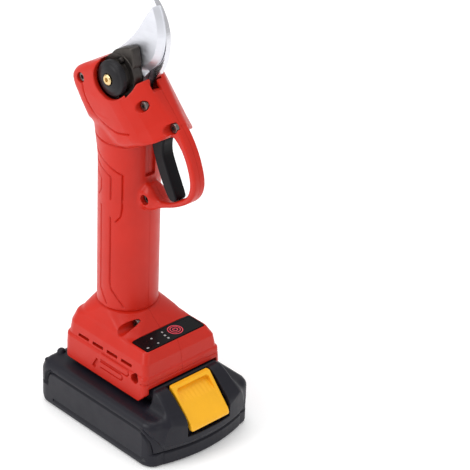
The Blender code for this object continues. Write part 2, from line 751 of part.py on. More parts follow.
def make_motor():
    centre = (PIVOT_X, 0.0, 0.0)
    turned(
        "motor_can",
        (
            (MOTOR_R - 1.2, MOTOR_Z + 4.0),
            (MOTOR_R, MOTOR_Z + 4.0),
            (MOTOR_R, MOTOR_TOP),
            (3.4, MOTOR_TOP),
            (3.4, MOTOR_TOP - 1.2),
            (MOTOR_R - 1.2, MOTOR_TOP - 1.2),
        ),
        centre,
        finish="motor_steel",
        sides=32,
        bored=True,
    )
    turned(
        "motor_end_cap",
        (
            (2.4, MOTOR_Z),
            (9.0, MOTOR_Z),
            (MOTOR_R, MOTOR_Z + 1.6),
            (MOTOR_R, MOTOR_Z + 3.7),
            (2.4, MOTOR_Z + 3.7),
        ),
        centre,
        finish="black_plastic",
        sides=28,
        bored=True,
    )
    turned(
        "motor_rotor",
        (
            (1.2, MOTOR_Z - 2.0),
            (1.2, MOTOR_Z + 7.0),
            (4.5, MOTOR_Z + 7.0),
            (4.5, MOTOR_Z + 14.0),
            (10.2, MOTOR_Z + 16.0),
            (10.2, MOTOR_TOP - 8.0),
            (1.2, MOTOR_TOP - 6.0),
            (1.2, GEARBOX_Z + 9.0),
        ),
        centre,
        finish="copper",
        sides=24,
    )


# ---------------------------------------------------------------- trigger


TRIGGER_OUTLINE = (
    (13.6, 194.4),
    (15.2, 189.6),
    (14.4, 182.8),
    (20.4, 170.0),
    (26.2, 158.8),
    (26.0, 156.4),
    (23.0, 154.9),
    (20.4, 155.3),
    (16.6, 159.8),
    (11.4, 169.4),
    (6.6, 179.6),
    (4.6, 186.6),
    (5.0, 192.8),
    (9.2, 195.8),
)


def make_trigger():
    x, z = TRIGGER_PIN
    origin = (x, 0.0, z)
    lever = plate("trigger", TRIGGER_OUTLINE, -TRIGGER_HALF, TRIGGER_HALF, "black_plastic", origin)
    bevelled(lever, 0.9)
    bore = [(bore_radius(1.5, 16), y) for y in (-9.0, 9.0)]
    cut(lever, turned("trigger_bore", bore, origin, "Y", sides=16))
    cut(lever, block("magnet_pocket", (5.2, 9.0), (-1.8, 1.8), (183.4, 187.2)))
    turned("trigger_pin", ((1.5, -5.2), (1.5, 5.2)), origin, "Y", "screw_steel", sides=16)
    block("trigger_magnet", (5.6, 8.4), (-1.5, 1.5), (183.8, 186.8), "magnet")
    coil("trigger_spring", origin, 3.0, 0.35, (4.9, 6.9), 3)


def coil(name, centre, radius, wire, span, turns, axis="Y", finish="screw_steel", steps=10):
    """A round wire wound along an axis, from span[0] to span[1]."""
    rings = []
    total = turns * steps
    for i in range(total + 1):
        angle = math.tau * i / steps
        along = span[0] + (span[1] - span[0]) * i / total
        ring = []
        for k in range(6):
            around = math.tau * k / 6
            r = radius + wire * math.cos(around)
            height = along + wire * math.sin(around)
            ring.append(placed(axis, centre, r * math.cos(angle), r * math.sin(angle), height))
        rings.append(ring)
    return loft(name, rings, finish, centre)


# ---------------------------------------------------------------- electronics


def make_electronics():
    # The hall sensor that reads the trigger's magnet
    block("hall_board", (-4.9, -3.9), (-3.6, 3.6), (173.0, 183.6), "board_green")
    block("control_board", (-36.0, 18.0), (-19.0, 19.0), (52.0, 53.6), "board_green")
    block("display_board", (14.4, 23.1), (-19.0, 19.0), (56.4, 57.6), "board_green")
    outline = rounded_box((11.95, 25.55), 22.5, 1.5)
    panel = slab("control_panel", outline, 62.2, 63.9, "gloss_black", (18.7, 0.0, 63.0))
    centre = (18.7, BUTTON_Y, 0.0)
    cut(panel, turned("button_hole", ((4.1, 60.0), (4.1, 66.0)), centre, sides=24))
    button = ((3.9, 64.2), (3.9, 60.6), (4.6, 60.6), (4.6, 59.4))
    turned("power_button", button, centre, finish="power_red")
    terminals = block("terminal_block", (-36.0, -14.0), (-16.0, 16.0), (42.6, 49.0), "black_plastic")
    for number, y in enumerate((-9.0, 9.0), 1):
        cut(terminals, block(f"terminal_seat_{number}", (-34.8, -17.2), (y - 0.8, y + 0.8), (40.0, 47.3)))
        block(f"terminal_blade_{number}", (-34.5, -17.5), (y - 0.5, y + 0.5), (36.6, 47.0), "copper")


# ---------------------------------------------------------------- battery


def battery_outline(half, back, front, inset=0.0):
    """The pack seen from above: round corners and a bowed front."""
    h, b, f = half - inset, back + inset, front - inset
    points = arc((b + 8.0, h - 8.0), 8.0, 90.0, 180.0, 4)
    points += [(x, -y) for x, y in reversed(points)]
    bow = 6.0
    points.append((f - bow - 3.0, -h))
    for i in range(9):
        t = -1.0 + i / 4.0
        points.append((f - bow * t * t, t * (h - 3.0)))
    points.append((f - bow - 3.0, h))
    return points


def pack_shell(levels):
    rings = []
    for z, inset in levels:
        rings.append([(x, y, z) for x, y in battery_outline(BATTERY_HALF, BATTERY_BACK, BATTERY_FRONT, inset)])
    return rings


def make_battery():
    tub = pack_shell(((0.0, 2.6), (0.8, 1.0), (2.6, 0.0), (SEAM_Z - 0.15, 0.0)))
    lower = loft("battery_lower_case", tub, "charcoal_plastic")
    cut(lower, loft("lower_hollow", pack_shell(((1.8, 3.4), (3.4, 2.4), (SEAM_Z + 1.0, 2.4)))))
    upper = loft(
        "battery_upper_case",
        pack_shell(((SEAM_Z + 0.15, 0.0), (24.0, 0.2), (27.5, 1.4), (DECK_Z, 4.2))),
        "charcoal_plastic",
        (0.0, 0.0, SEAM_Z),
    )
    nose_rings = []
    for x, top, low_half, top_half in (
        (33.3, 41.5, 36.0, 27.0),
        (38.0, 41.2, 35.5, 26.5),
        (47.5, 31.0, 33.5, 25.0),
        (54.2, 23.0, 29.0, 23.0),
    ):
        ring = [(x, -low_half, 20.0), (x, low_half, 20.0), (x, low_half - 2.0, (top + 26.0) / 2.0)]
        ring += [(x, top_half, top - 1.0), (x, top_half - 3.0, top)]
        ring += [(x, 3.0 - top_half, top), (x, -top_half, top - 1.0)]
        ring.append((x, 2.0 - low_half, (top + 26.0) / 2.0))
        nose_rings.append(ring)
    join(upper, loft("pack_nose", nose_rings))
    join(
        upper,
        block("rail_neck", (-40.0, 34.0), (-RAIL_NECK_HALF, RAIL_NECK_HALF), (26.0, 37.0)),
        block("rail_head", (-40.0, 34.0), (-RAIL_HALF, RAIL_HALF), (36.0, RAIL_TOP)),
    )
    cut(upper, loft("upper_hollow", pack_shell(((SEAM_Z - 1.0, 2.4), (24.0, 2.4), (27.4, 4.4)))))
    cut(upper, block("rail_hollow", (-38.0, 30.0), (-18.8, 18.8), (20.0, 34.6)))
    for number, y in enumerate((-9.0, 9.0), 1):
        cut(upper, block(f"contact_slot_{number}", (-45.0, -12.0), (y - 1.3, y + 1.3), (35.6, 45.0)))
        clip = ((y - 1.9, 31.4), (y + 1.9, 31.4), (y + 1.9, 34.0))
        clip += ((y + 1.2, 34.0), (y + 1.2, 32.2), (y - 1.2, 32.2))
        clip += ((y - 1.2, 34.0), (y - 1.9, 34.0))
        rings = [[(x, a, z) for a, z in clip] for x in (-34.0, -18.0)]
        loft(f"contact_clip_{number}", rings, "copper", (-26.0, y, 32.0))
    for k in range(5):
        x = -37.4 + 18.7 * k
        sleeve = ((8.2, -32.5), (9.1, -31.7), (9.1, 31.7), (8.2, 32.5))
        turned(f"cell_{k + 1}", sleeve, (x, 0.0, 11.6), "Y", "cell_wrap", sides=18)
    block("battery_board", (-34.0, 26.0), (-17.0, 17.0), (29.4, 31.0), "board_green")
    make_pack_screws(lower, upper)
    make_latch(upper)


def make_pack_screws(lower, upper):
    """Four screws hold the pack's two cases together from below."""
    for number, (x, y) in enumerate(PACK_SCREWS, 1):
        place = (x, y, 0.0)
        join(lower, turned(f"low_boss_{number}", ((2.9, 1.0), (2.9, SEAM_Z - 0.15)), place, sides=12))
        join(upper, turned(f"high_boss_{number}", ((2.9, SEAM_Z + 0.15), (2.9, 29.0)), place, sides=12))
        stepped = ((2.3, -1.0), (2.3, 3.2), (1.2, 3.2), (1.2, 12.0))
        cut(lower, turned(f"low_hole_{number}", stepped, place, sides=12))
        cut(upper, turned(f"high_hole_{number}", ((1.2, 8.0), (1.2, 22.0)), place, sides=12))
        profile = ((1.9, 1.4), (1.9, 2.9), (0.9, 2.9), (0.9, 19.0))
        turned(f"battery_screw_{number}", profile, place, finish="screw_steel", sides=12)


def make_latch(upper):
    """The release plate lies on the pack's sloping nose and is pressed down into it against a spring."""
    bed = ((33.6, 38.0), (33.6, 24.5), (40.0, 24.5), (52.2, 13.4), (53.4, 13.4), (53.4, 21.0), (37.0, 38.0))
    join(upper, plate("latch_bed", bed, -19.0, 19.0))
    pocket = ((34.8, 46.0), (34.8, 36.0), (53.0, 16.8), (64.0, 16.8), (64.0, 46.0))
    cut(upper, plate("latch_pocket", pocket, -LATCH_HALF - 1.2, LATCH_HALF + 1.2))
    x, low, high = LATCH_SPRING
    seat = (x, 0.0, 0.0)
    cut(upper, turned("spring_cup", ((3.6, low), (3.6, high + 9.0)), seat, sides=16))
    outline = ((36.2, 42.2), (39.0, 42.0), (57.6, 22.0), (57.4, 20.2), (54.8, 20.2), (36.2, 38.6))
    latch = plate("battery_latch", outline, -LATCH_HALF, LATCH_HALF, "yellow_plastic", (x, 0.0, 31.0))
    dish = ((38.6, 44.5), (38.2, 39.9), (51.4, 26.6), (57.0, 26.6), (57.0, 44.5))
    cut(latch, plate("latch_dish", dish, 2.8 - LATCH_HALF, LATCH_HALF - 2.8))
    cut(latch, turned("spring_top", ((3.4, 20.0), (3.4, high)), seat, sides=16))
    coil("latch_spring", seat, 2.6, 0.35, (low + 0.6, high - 0.6), 5, axis="Z")


def clear_scene():
    for item in list(bpy.data.objects):
        bpy.data.objects.remove(item)


def main():
    clear_scene()
    make_housing(-1)
    make_housing(1)
    make_housing_screws()
    make_blades()
    make_carrier()
    make_pivot()
    make_gearbox()
    make_bevel_gears()
    make_shaft_bearing()
    make_motor()
    make_trigger()
    make_electronics()
    make_battery()


main()
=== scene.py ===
"""Looks of the battery pruner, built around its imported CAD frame. Lengths in this file are in mm."""

import itertools
import json
import math

import bmesh
import bpy
import numpy as np
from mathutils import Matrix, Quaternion, Vector

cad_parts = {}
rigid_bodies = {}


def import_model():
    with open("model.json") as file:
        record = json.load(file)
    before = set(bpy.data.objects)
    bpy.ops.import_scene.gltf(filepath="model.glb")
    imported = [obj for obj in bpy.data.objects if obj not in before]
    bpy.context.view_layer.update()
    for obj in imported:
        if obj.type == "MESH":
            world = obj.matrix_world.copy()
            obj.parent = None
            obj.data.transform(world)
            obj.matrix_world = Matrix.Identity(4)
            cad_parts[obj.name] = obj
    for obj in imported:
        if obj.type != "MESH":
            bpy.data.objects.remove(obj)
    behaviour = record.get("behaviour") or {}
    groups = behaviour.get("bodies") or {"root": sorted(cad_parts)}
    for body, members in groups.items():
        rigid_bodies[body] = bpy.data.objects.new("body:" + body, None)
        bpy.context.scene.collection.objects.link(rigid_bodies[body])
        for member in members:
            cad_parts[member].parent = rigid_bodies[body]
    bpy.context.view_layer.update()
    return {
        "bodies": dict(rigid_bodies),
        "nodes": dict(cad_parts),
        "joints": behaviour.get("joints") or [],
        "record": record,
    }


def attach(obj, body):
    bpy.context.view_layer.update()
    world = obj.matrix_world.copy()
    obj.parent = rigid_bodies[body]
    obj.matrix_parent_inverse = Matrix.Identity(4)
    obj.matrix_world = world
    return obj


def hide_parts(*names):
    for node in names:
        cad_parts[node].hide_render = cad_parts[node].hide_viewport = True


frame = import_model()

MM = 0.001
# Grid steps of the large, small and smallest pieces, and the share of faces that thinning keeps
STEP = 0.5
FINE = 0.26
SCREW_STEP = 0.2
KEEP = 0.5

# ------------------------------------------------------------------ distances


def curve(points, closed=False, per=6):
    """A smooth curve through points, as Catmull and Rom drew it."""
    p = np.array(points, float)
    count = len(p)
    out = []
    for i in range(count if closed else count - 1):
        if closed:
            a, b, c, d = p[i - 1], p[i], p[(i + 1) % count], p[(i + 2) % count]
        else:
            a, b, c, d = p[max(i - 1, 0)], p[i], p[i + 1], p[min(i + 2, count - 1)]
        for k in range(per):
            t = k / per
            square, cube = 2 * a - 5 * b + 4 * c - d, 3 * b - a - 3 * c + d
            out.append(0.5 * (2 * b + (c - a) * t + square * t**2 + cube * t**3))
    if not closed:
        out.append(p[-1])
    return np.array(out)


class Flat:
    """A table of distances in a plane: signed inside a closed outline, plain from an open line."""

    def __init__(self, points, closed=True, margin=14.0, step=0.25):
        p = np.array(points, float)
        self.low = p.min(0) - margin
        self.step = step
        size = np.ceil((p.max(0) + margin - self.low) / step).astype(int) + 2
        u = self.low[0] + step * np.arange(size[0])[:, None]
        v = self.low[1] + step * np.arange(size[1])[None, :]
        best = np.full(tuple(size), 1e9)
        inside = np.zeros(tuple(size), bool)
        ends = np.roll(p, -1, 0) if closed else p[1:]
        for (ax, ay), (bx, by) in zip(p, ends):
            dx, dy = bx - ax, by - ay
            t = np.clip(((u - ax) * dx + (v - ay) * dy) / max(dx * dx + dy * dy, 1e-12), 0, 1)
            best = np.minimum(best, (u - ax - t * dx) ** 2 + (v - ay - t * dy) ** 2)
            if closed and ay != by:
                crossing = (ay > v) != (by > v)
                inside ^= crossing & (u < ax + (v - ay) * dx / dy)
        self.table = np.sqrt(best)
        if closed:
            self.table[inside] *= -1

    def __call__(self, u, v):
        a = np.clip((u - self.low[0]) / self.step, 0, self.table.shape[0] - 1.001)
        b = np.clip((v - self.low[1]) / self.step, 0, self.table.shape[1] - 1.001)
        i, j = a.astype(int), b.astype(int)
        a, b = a - i, b - j
        t = self.table
        near = t[i, j] * (1 - a) + t[i + 1, j] * a
        far = t[i, j + 1] * (1 - a) + t[i + 1, j + 1] * a
        return near * (1 - b) + far * b


def smin(a, b, k):
    """Two shapes joined, with a fillet of about k between them."""
    h = np.clip(0.5 + 0.5 * (b - a) / k, 0, 1)
    return b + (a - b) * h - k * h * (1 - h)


def smax(a, b, k):
    """The overlap of two shapes, with its edge softened over about k."""
    return -smin(-a, -b, k)


def rounded(a, b, r):
    """The overlap of two shapes, with their common edge rounded to radius r."""
    p, q = a + r, b + r
    return np.minimum(np.maximum(p, q), 0) + np.hypot(np.maximum(p, 0), np.maximum(q, 0)) - r


def box2(u, v, hu, hv, r):
    """A rectangle of half sizes hu and hv about the origin, with corners of radius r."""
    p, q = np.abs(u) - hu + r, np.abs(v) - hv + r
    return np.minimum(np.maximum(p, q), 0) + np.hypot(np.maximum(p, 0), np.maximum(q, 0)) - r


def wall(*sides):
    """The overlap of several shapes, with sharp edges."""
    d = sides[0]
    for side in sides[1:]:
        d = np.maximum(d, side)
    return d


def groove(line, half, depth):
    """How far a V groove lowers a surface at a distance from its line."""
    return depth * np.clip(1 - np.abs(line) / half, 0, 1)


# ------------------------------------------------------------------ meshing


# Blocks of this many cells are sampled finely only where the surface is near
BLOCK = 4
FAR = 1e6
# How much a field may overstate a distance, and the size of its finest detail
SLACK, FINEST = 1.25, 0.9
PROBE = 0.03
PULL = 0.04
TINY = 1e-12


def spread_out(blocks):
    for axis in range(3):
        blocks = np.repeat(blocks, BLOCK, axis)
    return blocks


def sampled(field, low, cells, step):
    """The field on a grid, and a mask of where it is exact. Elsewhere it only has the right sign."""
    middle = [low[a] + step * (np.arange(cells[a] // BLOCK) * BLOCK + BLOCK / 2) for a in range(3)]
    gx, gy, gz = np.meshgrid(*middle, indexing="ij")
    rough = field(gx.ravel(), gy.ravel(), gz.ravel()).reshape(gx.shape)
    # Half a block's diagonal, with a little to spare
    reach = step * BLOCK * 0.5 * 1.74
    near = spread_out(np.abs(rough) < reach * SLACK + FINEST)
    value = np.pad(spread_out(np.sign(rough) * FAR), ((0, 1),) * 3, mode="edge")
    mask = np.zeros(cells + 1, bool)
    for dx, dy, dz in itertools.product((0, 1), repeat=3):
        mask[dx : dx + cells[0], dy : dy + cells[1], dz : dz + cells[2]] |= near
    index = np.nonzero(mask)
    value[index] = field(*(low[a] + step * index[a] for a in range(3)))
    return value, mask


def changes(value, mask, axis):
    """The grid edges along an axis that cross the surface, apart from those on the grid's outer faces."""
    inside = value < 0
    first, second = [slice(None)] * 3, [slice(None)] * 3
    first[axis], second[axis] = slice(0, -1), slice(1, None)
    first, second = tuple(first), tuple(second)
    hit = (inside[first] != inside[second]) & mask[first] & mask[second]
    for other in range(3):
        if other != axis:
            layers = np.moveaxis(hit, other, 0)
            layers[0] = False
            layers[-1] = False
    return np.array(np.nonzero(hit))


def refined(field, start, axis, step, va, vb):
    """The points on grid edges where the field is zero, by false position."""
    ta, tb = np.zeros(len(va)), np.ones(len(va))
    t = va / (va - vb)
    for _ in range(3):
        point = start.copy()
        point[axis] += step * t
        vt = field(*point)
        same = (vt < 0) == (va < 0)
        ta, va = np.where(same, t, ta), np.where(same, vt, va)
        tb, vb = np.where(same, tb, t), np.where(same, vb, vt)
        gap = np.where(np.abs(va - vb) < TINY, TINY, va - vb)
        t = np.clip(ta + (tb - ta) * va / gap, 0.001, 0.999)
    point = start.copy()
    point[axis] += step * t
    return point


def slopes(field, point):
    """The field's unit normals, from four probes round each point."""
    normal = np.zeros_like(point)
    for sx, sy, sz in ((1, -1, -1), (-1, -1, 1), (-1, 1, -1), (1, 1, 1)):
        v = field(point[0] + PROBE * sx, point[1] + PROBE * sy, point[2] + PROBE * sz)
        normal += np.array([[sx], [sy], [sz]]) * v
    return normal / (np.linalg.norm(normal, axis=0) + TINY)


def best_vertices(point, normal, owner, corner, step):
    """A vertex in each cell: the mean of its crossings, moved towards where their planes meet."""
    flat = owner.ravel()
    many = len(corner)

    def gather(values):
        return np.bincount(flat, np.tile(values, 4), many)

    count = gather(np.ones(point.shape[1]))
    mass = np.array([gather(point[a]) for a in range(3)]) / count
    plane = (normal * point).sum(0)
    matrix = np.empty((many, 3, 3))
    right = np.empty((many, 3))
    for a in range(3):
        right[:, a] = gather(normal[a] * plane)
        for b in range(a, 3):
            matrix[:, a, b] = matrix[:, b, a] = gather(normal[a] * normal[b])
    right -= np.einsum("nij,nj->ni", matrix, mass.T)
    matrix[:, range(3), range(3)] += PULL * count[:, None]
    offset = np.linalg.solve(matrix, right[:, :, None])[:, :, 0]
    return np.clip(mass.T + offset, corner - 0.02 * step, corner + 1.02 * step)


def quad_piece(name, vertex, faces):
    mesh = bpy.data.meshes.new(name)
    mesh.vertices.add(len(vertex))
    mesh.vertices.foreach_set("co", (vertex * MM).ravel())
    mesh.loops.add(faces.size)
    mesh.loops.foreach_set("vertex_index", faces.ravel())
    mesh.polygons.add(len(faces))
    mesh.polygons.foreach_set("loop_start", np.arange(0, faces.size, 4))
    mesh.update(calc_edges=True)
    mesh.validate()
    piece = bpy.data.objects.new(name, mesh)
    bpy.context.scene.collection.objects.link(piece)
    return piece


def surface(name, field, low, high, step, finish, body, replaced=(), keep=None, angle=38):
    """Meshes field(x, y, z) = 0 by dual contouring, which keeps both sharp edges and smooth faces."""
    low = np.array(low, float)
    cells = (np.ceil((np.array(high) - low) / step / BLOCK).astype(int)) * BLOCK
    value, mask = sampled(field, low, cells, step)
    stride = np.array([(cells[1] + 1) * (cells[2] + 1), cells[2] + 1, 1])
    points, normals, quads, flips = [], [], [], []
    for axis in range(3):
        i = changes(value, mask, axis)
        j = i.copy()
        j[axis] += 1
        start = low[:, None] + step * i
        points.append(refined(field, start, axis, step, value[tuple(i)], value[tuple(j)]))
        normals.append(slopes(field, points[-1]))
        base = (i * stride[:, None]).sum(0)
        a, b = [k for k in range(3) if k != axis]
        quads.append(np.array([base, base - stride[a], base - stride[a] - stride[b], base - stride[b]]))
        flips.append((value[tuple(i)] < 0) != (axis == 1))
    four = np.hstack(quads)
    ids, owner = np.unique(four, return_inverse=True)
    owner = owner.reshape(four.shape)
    cell = np.array([ids // stride[0], (ids % stride[0]) // stride[1], ids % stride[1]])
    corner = (low[:, None] + step * cell).T
    vertex = best_vertices(np.hstack(points), np.hstack(normals), owner, corner, step)
    piece = quad_piece(name, vertex, np.where(np.hstack(flips), owner, owner[::-1]).T)
    if keep:
        thin(piece, keep)
    return finished(piece, finish, body, replaced, angle)


def thin(piece, share):
    """Collapses edges where the surface is flat or even."""
    change = piece.modifiers.new("thin", "DECIMATE")
    change.ratio = share
    graph = bpy.context.evaluated_depsgraph_get()
    mesh = bpy.data.meshes.new_from_object(piece.evaluated_get(graph))
    piece.modifiers.clear()
    piece.data = mesh


def finished(piece, finish, body, replaced=(), angle=38):
    """Paints and smooths a piece, parents it to the body that carries it and hides the CAD nodes it replaces.
    """
    mesh = piece.data
    mesh.materials.clear()
    mesh.materials.append(finish)
    mesh.shade_smooth()
    mesh.set_sharp_from_angle(angle=math.radians(angle))
    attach(piece, body)
    if replaced:
        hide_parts(*replaced)
    return piece


def lathe(name, profile, centre, finish, body, replaced, sides):
    """Turns a closed (radius, height) profile about an axis along Y."""
    x0, y0, z0 = centre
    points, faces = [], []
    for radius, along in profile:
        for i in range(sides):
            a = math.tau * i / sides
            points.append(Vector((x0 + radius * math.cos(a), y0 + along, z0 + radius * math.sin(a))) * MM)
    for k in range(len(profile) - 1):
        for i in range(sides):
            j = (i + 1) % sides
            faces.append((k * sides + i, k * sides + j, (k + 1) * sides + j, (k + 1) * sides + i))
    mesh = bpy.data.meshes.new(name)
    mesh.from_pydata(points, [], faces)
    shape = bmesh.new()
    shape.from_mesh(mesh)
    bmesh.ops.remove_doubles(shape, verts=shape.verts, dist=1e-7)
    bmesh.ops.recalc_face_normals(shape, faces=shape.faces)
    shape.to_mesh(mesh)
    shape.free()
    piece = bpy.data.objects.new(name, mesh)
    bpy.context.scene.collection.objects.link(piece)
    return finished(piece, finish, body, replaced)


# ------------------------------------------------------------------ materials


def material(name, colour, roughness, metallic=0.0):
    """A new material with its nodes, links and shader."""
    made = bpy.data.materials.new(name)
    made.use_nodes = True
    shader = made.node_tree.nodes["Principled BSDF"]
    shader.inputs["Base Color"].default_value = (*colour, 1.0)
    shader.inputs["Roughness"].default_value = roughness
    shader.inputs["Metallic"].default_value = metallic
    return made, made.node_tree.nodes, made.node_tree.links, shader


def noise(nodes, links, scale, detail=4.0, rough=0.6, stretch=None):
    place = nodes.new("ShaderNodeTexCoord")
    field = nodes.new("ShaderNodeTexNoise")
    field.inputs["Scale"].default_value = scale
    field.inputs["Detail"].default_value = detail
    field.inputs["Roughness"].default_value = rough
    if stretch:
        pull = nodes.new("ShaderNodeMapping")
        pull.inputs["Scale"].default_value = stretch
        links.new(place.outputs["Object"], pull.inputs["Vector"])
        links.new(pull.outputs["Vector"], field.inputs["Vector"])
    else:
        links.new(place.outputs["Object"], field.inputs["Vector"])
    return field.outputs["Fac"]


def ramp(nodes, links, source, stops):
    band = nodes.new("ShaderNodeValToRGB")
    for element, (position, colour) in zip(band.color_ramp.elements, stops):
        element.position = position
        element.color = (*colour, 1)
    links.new(source, band.inputs["Fac"])
    return band.outputs["Color"]


def spread(nodes, links, source, low, high):
    change = nodes.new("ShaderNodeMapRange")
    change.inputs["From Min"].default_value = 0.3
    change.inputs["From Max"].default_value = 0.7
    change.inputs["To Min"].default_value = low
    change.inputs["To Max"].default_value = high
    links.new(source, change.inputs["Value"])
    return change.outputs["Result"]


def bump(nodes, links, shader, source, strength, distance):
    relief = nodes.new("ShaderNodeBump")
    relief.inputs["Strength"].default_value = strength
    relief.inputs["Distance"].default_value = distance
    links.new(source, relief.inputs["Height"])
    links.new(relief.outputs["Normal"], shader.inputs["Normal"])


def plastic(name, colour, roughness=0.42, grain=1.0, shift=0.06, grain_size=2200.0, shine=0.5):
    """Moulded plastic: a fine spark-eroded grain, and slow changes of tone and gloss."""
    made, nodes, links, shader = material(name, colour, roughness)
    shader.inputs["Specular IOR Level"].default_value = shine
    slow = noise(nodes, links, 28.0, 3.0)
    low = tuple(c * (1 - shift) for c in colour)
    high = tuple(min(1.0, c * (1 + shift)) for c in colour)
    links.new(ramp(nodes, links, slow, ((0.3, low), (0.7, high))), shader.inputs["Base Color"])
    fine = noise(nodes, links, grain_size, 2.0, 0.5)
    wear = noise(nodes, links, 160.0, 5.0)
    gloss = spread(nodes, links, wear, roughness - 0.05, roughness + 0.06)
    links.new(gloss, shader.inputs["Roughness"])
    bump(nodes, links, shader, fine, 0.22 * grain, 0.00006)
    return made


def metal(name, colour, roughness, stretch=(1, 1, 1), scale=300.0, strength=0.1, shift=0.08):
    """Ground or turned metal: fine lines along one direction, and faint stains."""
    made, nodes, links, shader = material(name, colour, roughness, 1.0)
    slow = noise(nodes, links, 45.0, 5.0)
    low = tuple(c * (1 - shift) for c in colour)
    links.new(ramp(nodes, links, slow, ((0.32, low), (0.62, colour))), shader.inputs["Base Color"])
    lines = noise(nodes, links, scale, 5.0, 0.65, stretch)
    links.new(spread(nodes, links, lines, roughness * 0.75, roughness * 1.35), shader.inputs["Roughness"])
    bump(nodes, links, shader, lines, strength, 0.00004)
    return made


RED = plastic("shell_red", (0.54, 0.0155, 0.0055), 0.38, 1.0, 0.06, 2200.0, 0.30)
CHARCOAL = plastic("pack_charcoal", (0.0095, 0.0092, 0.0150), 0.42, 1.3, 0.08, 2200.0, 0.26)
BLACK = plastic("trigger_black", (0.0045, 0.004, 0.0058), 0.38, 0.8, 0.08, 2200.0, 0.15)
CAP_BLACK = plastic("cap_black", (0.009, 0.008, 0.010), 0.46, 1.4, 0.08, 1600.0, 0.26)
FILM = plastic("panel_film", (0.004, 0.004, 0.005), 0.30, 0.15, 0.06, 2200.0, 0.10)
YELLOW = plastic("latch_yellow", (0.92, 0.45, 0.011), 0.40, 0.8, 0.05, 2200.0, 0.35)
LAMP_GREY = plastic("mark_white", (0.42, 0.42, 0.42), 0.4, 0.2)
BUTTON_RED = plastic("button_red", (0.60, 0.02, 0.03), 0.3, 0.3)
RING_RED = plastic("ring_red", (0.75, 0.05, 0.09), 0.4, 0.2)
STEEL = metal("blade_satin", (0.74, 0.75, 0.80), 0.42, (1, 1, 14), 120.0, 0.06, 0.08)
HOOK_STEEL = metal("hook_polished", (0.76, 0.76, 0.80), 0.22, (1, 1, 14), 120.0, 0.05)
GUNMETAL = metal("hub_gunmetal", (0.085, 0.076, 0.070), 0.42, (1, 9, 1), 260.0, 0.12, 0.25)
SCREW = metal("screw_dark", (0.20, 0.18, 0.17), 0.30, (1, 1, 1), 400.0, 0.06)
BRASS = metal("screw_brass", (0.80, 0.60, 0.30), 0.27, (1, 1, 1), 400.0, 0.06)
GEAR = metal("gear_machined", (0.36, 0.36, 0.38), 0.34, (1, 1, 8), 300.0, 0.10)
MOTOR = metal("motor_can_steel", (0.52, 0.52, 0.54), 0.34, (1, 1, 10), 220.0, 0.10)
COPPER = metal("winding_copper", (0.80, 0.38, 0.18), 0.30, (1, 1, 20), 200.0, 0.10)
MAGNET = metal("magnet_nickel", (0.60, 0.60, 0.61), 0.22, (1, 1, 1), 300.0, 0.05)
BOARD = plastic("board_mask", (0.015, 0.10, 0.04), 0.35, 0.5)
WRAP = plastic("cell_sleeve", (0.04, 0.22, 0.46), 0.36, 0.5)

# ------------------------------------------------------------------ housing

GRIP_X, GRIP_R, WALL = -17.6, 18.3, 2.4
PIVOT_X, PIVOT_Z = -15.0, 222.0
PIN_X, PIN_Z = 9.5, 191.0
PANEL_X = 18.75
BUTTON_X, BUTTON_Y = 18.7, 5.4
NECK_Z = 72.5
LEAN = math.radians(43.5)

HEAD = Flat(
    np.vstack(
        [
            curve(((2.0, 224.4), (13.0, 214.0), (24.4, 203.3)), per=4),
            curve(
                (
                    (24.6, 200.0),
                    (21.0, 195.4),
                    (14.0, 191.0),
                    (6.0, 186.8),
                    (0.0, 183.6),
                    (-8.0, 181.8),
                    (-20.0, 181.6),
                    (-31.0, 182.6),
                    (-40.2, 184.4),
                )
            ),
            curve(
                (
                    (-42.0, 190.0),
                    (-45.2, 202.5),
                    (-47.6, 211.5),
                    (-46.4, 216.6),
                    (-41.6, 220.9),
                    (-30.0, 227.4),
                    (-22.0, 232.2),
                )
            ),
            curve(((-14.0, 234.2), (-6.0, 229.0)), per=2),
        ]
    )
)
GUARD = Flat(
    np.vstack(
        [
            curve(
                (
                    (20.0, 204.0),
                    (26.6, 201.4),
                    (32.6, 194.6),
                    (37.2, 186.8),
                    (40.4, 178.6),
                    (41.6, 172.0),
                    (40.8, 166.5),
                    (38.2, 161.6),
                    (33.6, 157.2),
                    (25.0, 151.8),
                    (14.0, 146.8),
                    (4.0, 141.5),
                    (-6.0, 141.0),
                )
            ),
            curve(
                (
                    (-6.0, 158.0),
                    (3.5, 157.0),
                    (8.0, 152.8),
                    (13.0, 150.9),
                    (20.0, 153.0),
                    (28.0, 157.4),
                    (33.4, 161.6),
                    (35.9, 165.2),
                    (37.0, 170.0),
                    (36.2, 176.4),
                    (33.0, 184.6),
                    (28.6, 191.0),
                    (22.5, 195.6),
                    (14.0, 196.5),
                )
            ),
        ]
    )
)
HEAD_ARC = Flat(
    curve(
        (
            (-38.0, 217.0),
            (-36.2, 212.0),
            (-33.0, 204.0),
            (-26.0, 196.6),
            (-15.5, 193.2),
            (-6.0, 192.6),
            (3.0, 194.6),
        )
    ),
    closed=False,
)
GRIP_LINES = [
    Flat([(math.radians(a) * GRIP_R, z) for a, z in line], closed=False, margin=4.0)
    for line in (
        ((-131.0, 174.5), (-54.0, 163.0), (-54.0, 141.0), (-57.0, 135.5), (-66.0, 132.0)),
        ((-124.0, 167.5), (-77.5, 160.5), (-77.5, 146.0)),
        ((-77.5, 134.0), (-77.5, 90.0), (-75.0, 86.5), (-49.0, 75.4)),
        ((-120.0, 161.0), (-102.0, 156.6), (-102.0, 150.0), (-111.0, 145.6)),
        ((-102.0, 139.5), (-102.0, 84.0), (-84.5, 75.3)),
    )
]
